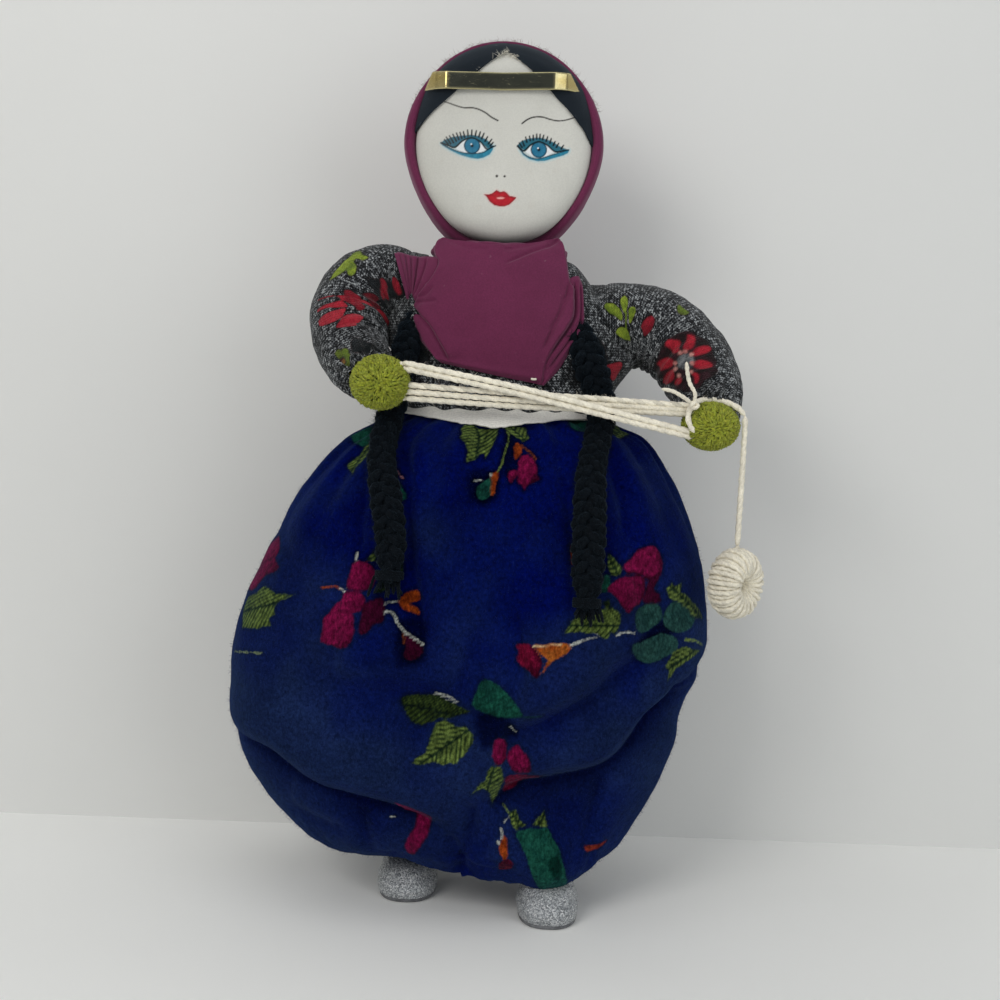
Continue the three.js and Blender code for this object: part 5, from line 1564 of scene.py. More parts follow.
SL_R = [
    dict(at=[(369, 278), (380, 278), (405, 288), (405, 298), (392, 298), (385, 307), (378, 295)], c=BLACKP, c2=DARKP, tex="spot", a=0.9),
    dict(at=[(353.3, 338.3), (363.3, 341.7), (371.7, 346.7), (365, 353.3), (353.3, 351.7)], c=BLACKP, c2=DARKP, tex="spot", a=0.9),
    dict(at=[(330, 280), (332.5, 275), (340, 266.7), (346.7, 259.2), (353.3, 253.3), (360, 251.3), (362.5, 255), (368.3, 257.5), (363.3, 260), (356.7, 258.3), (353.3, 261.7), (356.7, 266.7),
             (355, 273.3), (349.2, 275), (346.7, 270), (340.8, 273.3)], c=LIME, c2=LIME2, tex="spot"),
    dict(at=[(316.7, 303.3), (323.3, 298.3), (333.3, 295.8), (340.8, 299.2), (346.7, 306.7), (338.3, 307.5), (328.3, 307.5), (318.3, 309.2)], c=RED, c2=REDB, tex="petal"),
    dict(at=[(319.2, 320), (326.7, 313.3), (336.7, 310), (345.8, 309.2), (343.3, 315), (335, 320.8), (325, 325), (320, 325.8)], c=RED, c2=RED2, tex="petal"),
    dict(at=[(336.7, 325), (341.7, 318.3), (350, 314.2), (360, 315), (361.7, 320), (356.7, 325), (346.7, 326.7), (338.3, 327.5)], c=RED, c2=RED2, tex="petal"),
    dict(at=[(344.2, 293.3), (348.3, 290), (355, 293.3), (360.8, 301.7), (362.5, 310), (356.7, 309.2), (350, 303.3)], c=REDD, c2=RED, tex="petal"),
    dict(at=[(362.5, 295), (371.7, 293.3), (378.3, 300), (376.7, 310), (370, 303.3)], c=MAROON, c2=REDD, tex="petal"),
    dict(at=[(380, 280), (385, 280.8), (387.5, 288.3), (388.3, 300), (383.3, 300), (380.8, 291.7)], c=REDD, c2=RED, tex="petal"),
    dict(at=[(393.3, 276.7), (398.3, 281.7), (401.7, 293.3), (395.8, 291.7), (392.5, 283.3)], c=REDD, c2=RED, tex="petal"),
    dict(round=(342, 362, 5.6), c=BLACKP, c2=DARKP, tex="spot"),
] + [
    dict(round=(342, 362, 2.0, 4.1 * math.cos(k), 4.1 * math.sin(k)), c=OLIVE, c2=LIME, tex="spot") for k in np.linspace(0, 2 * np.pi, 7, endpoint=False)
] + [
    dict(round=(342, 362, 1.5), c=MAROON, c2=lin("#7a5a2a"), tex="spot"),
]
FL = (686.2, 361.7)
SL_L = LEAVES_L + [
    dict(at=[(641.2, 325.8), (647, 317.5), (652, 315.8), (654.5, 320), (652, 328.3), (647, 335), (642, 330)], c=REDD, c2=RED, tex="petal"),
    dict(at=[(677, 308.3), (680.3, 305), (688.7, 311.7), (683.7, 315)], c=OLIVE, c2=LIME, tex="spot"),
    dict(at=[(FL[0] + (30 + 2.5 * math.sin(5 * k)) * math.cos(k), FL[1] + (28 + 2 * math.cos(4 * k)) * math.sin(k)) for k in np.linspace(0, 2 * np.pi, 20, endpoint=False)],
         c=lin("#15100f"), c2=lin("#341820"), tex="spot", a=0.92),
    dict(at=[(FL[0] + 9 * math.cos(k), FL[1] + 8 * math.sin(k)) for k in np.linspace(0, 2 * np.pi, 12, endpoint=False)], c=lin("#3c4044"), c2=lin("#85888a"), tex="spot"),
]
for k_, at_ in enumerate((
        [(683.7, 345), (687, 335.8), (692, 335), (695.3, 340), (692, 348.3), (685.3, 350)],
        [(665.3, 343.3), (668.7, 339.2), (675.3, 340), (680.3, 345), (679.5, 351.7), (672, 351.7)],
        [(657, 365), (662, 359.2), (670.3, 358.3), (673.7, 363.3), (668.7, 368.3), (660.3, 370)],
        [(663.7, 378.3), (668.7, 371.7), (673.7, 370), (674.5, 376.7), (668.7, 383.3), (663.7, 383.3)],
        [(674.5, 383.3), (677.8, 377.5), (682, 379.2), (680.3, 383.3), (676.2, 385)],
        [(692, 373.3), (697, 373.3), (698.7, 380), (695.3, 383.3)],
        [(692.8, 363.3), (700.3, 360), (710.3, 362.5), (712, 366.7), (702, 369.2), (694.5, 366.7)],
        [(692, 353.3), (697, 347.5), (707, 345.8), (711.2, 349.2), (705.3, 353.3), (695.3, 355.8)])):
    at_ = np.array(at_)
    SL_L.append(dict(at=at_, c=RED, c2=REDB, tex="petal"))
    # pale spot where each petal starts
    foot = at_[np.argmin(np.hypot(at_[:, 0] - FL[0], at_[:, 1] - FL[1]))]
    foot = foot + (np.array(FL) - foot) * 0.12
    SL_L.append(dict(at=[(foot[0] + 2.1 * math.cos(k), foot[1] + 1.9 * math.sin(k)) for k in np.linspace(0, 2 * np.pi, 8, endpoint=False)], c=lin("#d29a90"), c2=lin("#b76a66"), tex="spot"))
for name, arm, motifs, seed, nodes in (("sleeve_right_knit", ARM_RIGHT, SL_R, 151, ("sleeve_right", "arm_stuffing_right", "arm_wire")), ("sleeve_left_knit", ARM_LEFT, SL_L, 161, ("sleeve_left", "arm_stuffing_left"))):
    P, radial, nv_, nu_ = sleeve(name, arm, motifs, seed, nodes, None)
    nr = radial
    stc, to_cloth = cloth_map(P, nr)
    # more of the flowers on the side turned away
    turned = (radial * unit(CAM_C - P)).sum(-1)
    turned[:, :22], turned[:, -22:] = 9, 9
    backs = []
    for row_, kind in ((52, "daisy"), (84, "sprig"), (116, "daisy")) if seed == 151 else ((50, "sprig"), (80, "daisy"), (112, "sprig")):
        here = stc[row_ * nu_ + turned[row_].argmin()]
        backs += daisy(here, 9.0, 0.1 * row_) if kind == "daisy" else sprig(here, 7.0, 1.1)
    col = merged(lay_print(stc, [motifs], to_cloth), lay_print(stc, [backs], None))
    flip = (np.cross(P[61, 1] - P[60, 0], P[60, 1] - P[61, 0]) @ radial[60, 0]) < 0
    ob = grid_object(name, P, MAT_KNIT, wrap=True, flip=not flip, color=col)
    carry(ob, "arms", "printed_knit", *nodes)


# hands: short turns of green yarn wound into a ball
def pompom(name, centre, rad, count, seed, node, shape):
    rng = np.random.default_rng(seed)
    pile = Pile()
    k = np.arange(700)
    ph, th = math.pi * (3 - math.sqrt(5)) * k, np.arccos(1 - 2 * (k + 0.5) / 700)
    core = np.stack([np.sin(th) * np.cos(ph), np.sin(th) * np.sin(ph), np.cos(th)], 1)
    # wound core under the loops, coloured darker than them: painted shade in the gaps
    m_, s_ = 20, 28
    la = np.linspace(0, math.pi, m_)[:, None]
    lo2 = np.linspace(0, 2 * math.pi, s_, endpoint=False)[None]
    g = np.stack([np.sin(la) * np.cos(lo2), np.sin(la) * np.sin(lo2), np.cos(la) + 0 * lo2], -1)
    g = centre + g * (rad - 2.1) * (1 + 0.05 * fbm(g * 4, 2, seed))[..., None]
    pile.add(centre + (g.reshape(-1, 3) - centre) * shape, grid_faces(m_, s_, True, False), (0.62, 0.64, 0.42))
    pole = unit(np.array([0.12, -1.0, -0.08]))
    k = np.arange(count) + 0.5
    th, ph = np.arccos(1 - 2 * k / count), math.pi * (3 - math.sqrt(5)) * k
    p1 = unit(np.cross(pole, [0.0, 0.0, 1.0]))
    p2 = np.cross(pole, p1)
    for i in range(count):
        d = unit(pole * math.cos(th[i]) + (p1 * math.cos(ph[i]) + p2 * math.sin(ph[i])) * math.sin(th[i]) + 0.05 * rng.standard_normal(3))
        e = unit(d * (d @ pole) - pole + 0.16 * rng.standard_normal(3))
        e = unit(e - d * (e @ d))
        w = np.cross(d, e)
        span = (1.4 + 0.8 * rng.random()) / rad
        q = np.linspace(-1, 1, 7)
        sway = 0.05 * rng.standard_normal()
        dirs = unit(d[None] * np.cos(q * span)[:, None] + e[None] * np.sin(q * span)[:, None] + w[None] * (sway * (1 - q ** 2))[:, None])
        hollow = 1.6 * math.exp(-(th[i] / 0.28) ** 2)
        hgt = rad - 1.7 + 1.2 * (1 - q ** 2) + 0.5 * rng.random() - hollow
        way = dirs * hgt[:, None]
        v, f = tube(centre + way * shape, 0.45 * (0.85 + 0.3 * rng.random()) * (1 - 0.3 * q ** 4), 5)
        sh = 0.7 + 0.5 * rng.random()
        pile.add(v, f, (sh * (0.95 + 0.12 * rng.random()), sh, sh * (0.8 + 0.5 * rng.random())))
    fuzz(pile, centre + core * (rad - 0.6) * shape, core, 700, 2.1, 0.045, seed + 3, (1.25, 1.25, 1.2), 1.4)
    ob = pile.object(name, MAT_GREEN)
    carry(ob, "arms", "green_yarn", node)
    return ob


pompom("hand_right_ball", HAND_R, 12.9, 1900, 171, "hand_right", np.array([0.97, 1.0, 0.9]))
pompom("hand_left_ball", HAND_L + np.array([-0.6, 0, -1.4]), 11.7, 1800, 172, "hand_left", np.array([1.05, 1.0, 0.88]))

# the strands go round each hand; the left hand also holds a knot with two tails
pile = Pile()


def round_hand(centre, rad, start, axis_tilt, sweep, seed):
    d = np.asarray(start, float) - centre
    e1 = unit(d)
    ax = unit(np.asarray(axis_tilt, float))
    e2 = unit(np.cross(ax, e1))
    q = np.linspace(0, 1, 22)
    ang = q * sweep
    r_ = rad + 0.5 - 0.2 * q - 2.2 * smoothstep(0.8, 1, q)
    return centre + (np.cos(ang)[:, None] * e1 + np.sin(ang)[:, None] * e2) * r_[:, None]


for i, ptsx in enumerate(STRANDS):
    yarn(pile, round_hand(HAND_R, 11.6, ptsx[0], (0.05 * i - 0.1, 0.12, 1), 2.4, 0), 1.2, 6.0, seed=181 + i)
    yarn(pile, round_hand(HAND_L, 10.4, ptsx[-1], (0.1 - 0.05 * i, 0.1, 1), -2.4, 0), 1.2, 6.0, seed=191 + i)
KN = np.array([82.4, -47.0, 225.4])
kt = np.linspace(0, 2 * np.pi * 1.6, 40)
yarn(pile, KN + np.stack([1.2 * np.cos(kt) + 0.1 * kt, 0.9 * np.sin(2 * kt), 1.1 * np.sin(kt)], 1), 0.95, 4.6, seed=201)
yarn(pile, curve(np.array([KN + (0.4, -0.6, 1.2), KN + (0.2, -1.6, 5.0), KN + (-2.2, -2.2, 9.0), KN + (-3.4, -2.6, 13.5), KN + (-4.0, -2.8, 17.6)]), 40), 0.9, 4.6, seed=202, taper=True)
yarn(pile, curve(np.array([KN + (-1.0, -0.6, 0.9), KN + (-4.6, -1.8, 3.2), KN + (-9.0, -2.4, 5.4), KN + (-13.6, -2.6, 6.2)]), 40), 0.9, 4.6, seed=203, taper=True)
wr = pile.object("yarn_round_hands", MAT_CREAM)
carry(wr, "arms", "cream_yarn")

# ----------------------------------------------------------------- trousers
TROUSERS = np.array([
    [220, -38.6, 44.6, -27, 26.6], [216.4, -40.4, 47.5, -28.4, 27.8], [212.5, -48.5, 57, -32.4, 30.8], [209, -56, 66, -35, 33], [201, -67.5, 73, -39.8, 36.4], [176, -87, 87, -48.4, 43.6],
    [162, -94, 92.5, -50.9, 46], [148, -102, 95.2, -53, 47.6], [120, -110.5, 97.4, -55.4, 49.4], [104, -112.6, 95.6, -55.6, 49.6], [95, -112.8, 90.5, -55.6, 49.6], [86, -113, 87.5, -55, 49],
    [77, -113, 86.6, -54.4, 48.4], [66, -110, 83, -53.2, 46.8], [60, -107, 81, -52.4, 45.6], [42, -93.5, 72.5, -49, 41], [26, -75, 60.5, -44.4, 34], [17.6, -50, 45, -39, 22]])
TR_N = 2.4


def half_ring(xl, xr, yf, yb, n, back, count):
    """Half of a section from the doll's right side to its left, evenly spaced along the cloth."""
    th = np.linspace(-np.pi / 2, np.pi / 2, 1601)
    e = 2 / n
    s, c = np.sin(th), np.cos(th)
    x = (xl + xr) / 2 + np.sign(s) * np.abs(s) ** e * (xr - xl) / 2
    mid = (yf + yb) / 2
    y = mid + (1 if back else -1) * np.abs(c) ** e * (yb - yf) / 2
    run = np.concatenate([[0], np.cumsum(np.hypot(np.diff(x), np.diff(y)))])
    u = np.linspace(0, run[-1], count)
    return np.stack([np.interp(u, run, x), np.interp(u, run, y)], 1), u - run[-1] / 2


NF, NB, ROWS, BOT = 312, 84, 232, 18
zz = np.linspace(220, 17.6, 1200)
ww = (pchip(TROUSERS[::-1, 0], TROUSERS[::-1, 2], zz) - pchip(TROUSERS[::-1, 0], TROUSERS[::-1, 1], zz)) / 2
dd = (pchip(TROUSERS[::-1, 0], TROUSERS[::-1, 4], zz) - pchip(TROUSERS[::-1, 0], TROUSERS[::-1, 3], zz)) / 2
run = np.concatenate([[0], np.cumsum(np.sqrt(np.diff(zz) ** 2 + 0.35 * np.diff(ww) ** 2 + 0.35 * np.diff(dd) ** 2))])
zr = np.interp(np.linspace(0, run[-1], ROWS), run, zz)
front, back_, SF, SB = [], [], [], []
for zi in zr:
    row = [float(pchip(TROUSERS[::-1, 0], TROUSERS[::-1, k], np.array([zi]))[0]) for k in (1, 2, 3, 4)]
    q, u = half_ring(*row, TR_N, False, NF)
    front.append(np.column_stack([q, np.full(NF, zi)]))
    SF.append(u)
    q, u = half_ring(*row, TR_N, True, NB)
    back_.append(np.column_stack([q, np.full(NB, zi)]))
    SB.append(u)
front, back_, SF, SB = np.array(front), np.array(back_), np.array(SF), np.array(SB)
# the cloth under the doll draws in to a seam between the ankles
ANK = np.array([[-38.0, 2.0], [37.0, -20.0]])


def under(ring, m):
    q = ring[:, :2]
    ab = ANK[1] - ANK[0]
    k = np.clip(((q - ANK[0]) @ ab) / (ab @ ab), 0, 1)
    tgt = ANK[0] + k[:, None] * ab
    f = np.linspace(0, 1, BOT + 1)[1:, None]
    rows = []
    for t_ in f[:, 0]:
        w = math.sin(t_ * math.pi / 2)
        xy = q + (tgt - q) * (0.94 * w)
        zc = ring[:, 2] + (1.2 - 4.4 * math.sin(t_ * math.pi) * 0.6 + 5.0 * t_ * t_ * np.exp(-((k - 0.5) / 0.26) ** 2))
        zc = zc - 1.2
        rows.append(np.column_stack([xy, zc]))
    return np.array(rows)


front = np.concatenate([front, under(front[-1], NF)])
back_ = np.concatenate([back_, under(back_[-1], NB)])
SF = np.concatenate([SF, np.repeat(SF[-1:], BOT, 0)])
SB = np.concatenate([SB, np.repeat(SB[-1:], BOT, 0)])
NV = ROWS + BOT


def hang(p):
    """The leg over the forward foot hangs lower and the cloth lifts between the legs."""
    k = smoothstep(52, 18, p[..., 2])
    fwd = smoothstep(30, -20, p[..., 1])
    p = p.copy()
    p[..., 2] += k * fwd * (-2.6 * np.exp(-((p[..., 0] - 36) / 17) ** 2) + 1.6 * np.exp(-((p[..., 0] - 2) / 15) ** 2) + 7.0 * np.exp(-((p[..., 0] + 34) / 19) ** 2))
    p[..., 1] += k * fwd * (-7.0 * np.exp(-((p[..., 0] - 38) / 20) ** 2))
    return p


front, back_ = hang(front), hang(back_)
T = np.concatenate([np.zeros((1, NF)), np.cumsum(np.linalg.norm(np.diff(front, axis=0), axis=2), 0)])
TB = np.concatenate([np.zeros((1, NB)), np.cumsum(np.linalg.norm(np.diff(back_, axis=0), axis=2), 0)])
T = T.mean(1)[:, None] + np.zeros((1, NF))
TB = TB.mean(1)[:, None] + np.zeros((1, NB))
TB = TB * (T[ROWS - 1, 0] / TB[ROWS - 1, 0])
ring_all = np.concatenate([front, back_[:, ::-1][:, 1:-1]], 1)
NU = ring_all.shape[1]
tnr = grid_normals(ring_all, True, True)
if tnr[120, NF // 2] @ np.array([0, -1.0, 0]) < 0:
    tnr = -tnr
stf = np.stack([SF, T], -1).reshape(-1, 2)
flatf = front.reshape(-1, 3)
pxf = project(flatf)
ids = np.nonzero(((tnr[:, :NF].reshape(-1, 3) * (CAM_C - flatf)).sum(1) > 0))[0]
tree = KDTree(len(ids))
for k, i in enumerate(ids):
    tree.insert((pxf[i, 0], pxf[i, 1], 0), k)
tree.balance()


def tc(q):
    """Picture places on the trousers as places on the cloth (mm across from the middle, mm down)."""
    res = []
    for x_, y_ in q:
        near = tree.find_n((x_, y_, 0), 4)
        w = np.array([1 / (d_ + 0.05) for _, _, d_ in near])
        res.append((stf[ids[[k for _, k, _ in near]]] * (w / w.sum())[:, None]).sum(0))
    return np.array(res)


def run_on(q, start, end):
    q = list(q)
    if start:
        q = [q[0] + (q[0] - q[1]) / np.linalg.norm(q[0] - q[1]) * start] + q
    if end:
        q = q + [q[-1] + (q[-1] - q[-2]) / np.linalg.norm(q[-1] - q[-2]) * end]
    return np.array(q)


# folds: points, groove depth and width, lift and its reach above, drop and its reach below, lip, run on past the start and end
FOLDS = [
    ([(236, 732), (262, 747), (283, 763), (320, 784), (347, 792), (389, 803), (425, 816), (447, 829), (462, 837)], 2.6, 3.6, 3.6, 15, 4.4, 20, 1.4, 30, 0),
    ([(286, 806), (306, 818), (327, 826), (346, 828)], 0.9, 4.0, 1.2, 9, 0.8, 9, 0.0, 0, 0),
    ([(473, 816), (510, 784), (552, 776), (604, 763), (631, 737), (657, 705), (678, 684), (686, 679)], 2.6, 3.6, 3.2, 13, 4.0, 18, 1.4, 0, 26),
    ([(496, 728), (524, 729), (556, 716), (594, 692), (622, 668), (650, 655)], 4.0, 6.0, 3.8, 15, 3.6, 15, 0.4, 0, 0),
    ([(410, 432), (409, 480), (409, 512), (412, 558), (420, 610), (425, 653)], 2.4, 2.8, 1.9, 9, 1.0, 10, 0.0, 0, 0),
    ([(552, 442), (560, 470), (568, 505), (573, 540), (573, 574)], 1.6, 2.6, 1.3, 8, 0.5, 7, 0.0, 0, 0),
    ([(330, 690), (352, 690), (389, 691), (425, 696), (452, 704)], 2.4, 6.0, 2.6, 14, 2.2, 15, 0.0, 0, 0),
    ([(474, 800), (473, 826), (468, 846), (463, 866)], 2.4, 2.8, 1.6, 8, 0.8, 8, 0.0, 0, 6),
    ([(448, 834), (456, 848), (462, 863)], 1.4, 2.4, 1.0, 6, 0.6, 6, 0.0, 0, 0),
    ([(505, 800), (498, 816), (490, 834), (476, 852)], 1.4, 2.6, 1.0, 6, 0.8, 7, 0.0, 0, 0),
    ([(366, 806), (364, 822), (368, 838), (376, 852)], 1.0, 3.4, 0.9, 7, 0.4, 8, 0.0, 0, 0),
    ([(606, 770), (600, 800), (592, 830), (584, 856)], 1.2, 3.4, 1.1, 9, 0.3, 8, 0.0, 0, 0),
    ([(286, 520), (300, 580), (310, 640), (318, 690)], 0.9, 5.0, 0.9, 12, 0.0, 9, 0.0, 0, 0),
    ([(372, 470), (366, 500), (362, 530), (362, 556)], 1.2, 2.8, 1.1, 7, 0.0, 6, 0.0, 0, 0),
    ([(612, 470), (622, 510), (622, 545)], 0.9, 3.0, 0.9, 8, 0.0, 6, 0.0, 0, 0),
    ([(640, 716), (664, 700), (690, 690)], 1.2, 3.0, 1.2, 7, 0.8, 8, 0.4, 0, 0),
]


def folds_at(st, lines, wide=1.0):
    h, slip = np.zeros(len(st)), np.zeros(len(st))
    for q, depth, width, lift, lw, drop, dw, lip, a0, a1 in lines:
        c = curve(run_on(q, a0, a1), 90)
        reach = 6 * max(lw, dw)
        sel = np.all((st > c.min(0) - reach) & (st < c.max(0) + reach), 1)
        if not sel.any():
            continue
        d, side, t_ = line_dist(st[sel], c)
        end = (1.0 if a0 else smoothstep(0.0, 0.14, t_)) * (1.0 if a1 else smoothstep(1.0, 0.84, t_))
        up = side > 0
        g = -depth * np.exp(-(d / (width * wide)) ** 2)
        g = g + np.where(up, lift * (d / lw) * np.exp(1 - d / lw), -drop * np.exp(-d / dw) * smoothstep(0, width * wide, d))
        h[sel] += g * end
        slip[sel] += np.where(up, lip * np.exp(-(d / 6.0) ** 2), 0.25 * lip * np.exp(-(d / 3.0) ** 2)) * end
    return h, slip


LINES = [(tc(f[0]),) + f[1:] for f in FOLDS]
hf, slf = folds_at(stf, LINES)
hb, slb = folds_at(np.stack([SB, TB], -1).reshape(-1, 2), LINES, 1.4)
for f_, s_ in ((hf, SF), (slf, SF), (hb, SB), (slb, SB)):
    k_ = np.abs(s_ / np.abs(s_).max(1, keepdims=True)).reshape(-1)
    f_ *= 1 - (0.55 if f_ is hf or f_ is hb else 0.95) * smoothstep(0.72, 0.9, k_)
hgt = np.concatenate([hf.reshape(NV, NF), hb.reshape(NV, NB)[:, ::-1][:, 1:-1]], 1)
slip = np.concatenate([slf.reshape(NV, NF), slb.reshape(NV, NB)[:, ::-1][:, 1:-1]], 1)
fold_h = hgt.copy()
zall = ring_all[..., 2]
ang = np.arctan2(ring_all[..., 0] - 3, -ring_all[..., 1] * 1.6)
gath = np.stack([np.cos(ang) * 7.5, np.sin(ang) * 7.5, zall / 60], -1)
pleat = fbm(gath, 2, 301) + 0.6 * np.sin(ang * 23 + 2.2 * fbm(gath * 0.4, 2, 302))
hgt += 1.7 * pleat * smoothstep(150, 205, zall) * smoothstep(221, 212, zall)
hgt += 1.0 * (fbm(gath * 1.6, 2, 303)) * smoothstep(60, 22, zall)
hgt += 1.9 * fbm(ring_all / 46.0, 3, 304) + 0.55 * fbm(ring_all / 15.0, 3, 305) + 0.16 * fbm(ring_all / 5.0, 2, 306)
side_seam = np.exp(-((np.minimum(np.abs(np.arange(NU) - 0), np.minimum(np.abs(np.arange(NU) - (NF - 1)), NU - np.arange(NU)))) / 1.5) ** 2)[None]
hgt -= 0.55 * side_seam * smoothstep(20, 40, zall)
fade = np.ones(NV)
fade[ROWS:] = np.linspace(1, 0.25, BOT)
down = unit(np.gradient(ring_all, axis=0))
P = ring_all + tnr * (hgt * fade[:, None])[..., None] + down * (slip * fade[:, None])[..., None]
# nothing hangs below the shoe tops
P[..., 2] = np.maximum(P[..., 2], 6.0)

MAG, MAG2, MAGD = lin("#410925"), lin("#831345"), lin("#2c061b")
LEAF, LEAF2, LEAFD = lin("#18281a"), lin("#6f8240"), lin("#0f1a14")
LEAFK = lin("#39491f")
DGREEN, DGREEN2 = lin("#194f40"), lin("#10342e")
TEAL, TEAL2 = lin("#1c3a38"), lin("#2b4f49")
ORANGE, ORANGE2 = lin("#974115"), lin("#6a260d")
BROWN = lin("#6a3416")
PALE = lin("#c2c6be")
NIGHT = lin("#050912")


def lf(at, c=LEAF, c2=LEAF2, tex="leaf"):
    return dict(at=at, c=c, c2=c2, tex=tex)


def pt(at, c=MAG, c2=MAG2):
    return dict(at=at, c=c, c2=c2, tex="petal")


def ln(at, w, c=PALE, taper=0.3):
    return dict(at=at, line=w, c=c, taper=taper)


def dk(at, c=DGREEN, c2=DGREEN2, a=1.0):
    return dict(at=at, c=c, c2=c2, tex="spot", a=a)


def ink(at, a):
    return dict(at=at, ink=a)


def dot(x, y, r, c=PALE):
    return dk([(x + r * math.cos(k), y + r * math.sin(k)) for k in np.linspace(0, 2 * np.pi, 8, endpoint=False)], c, c)


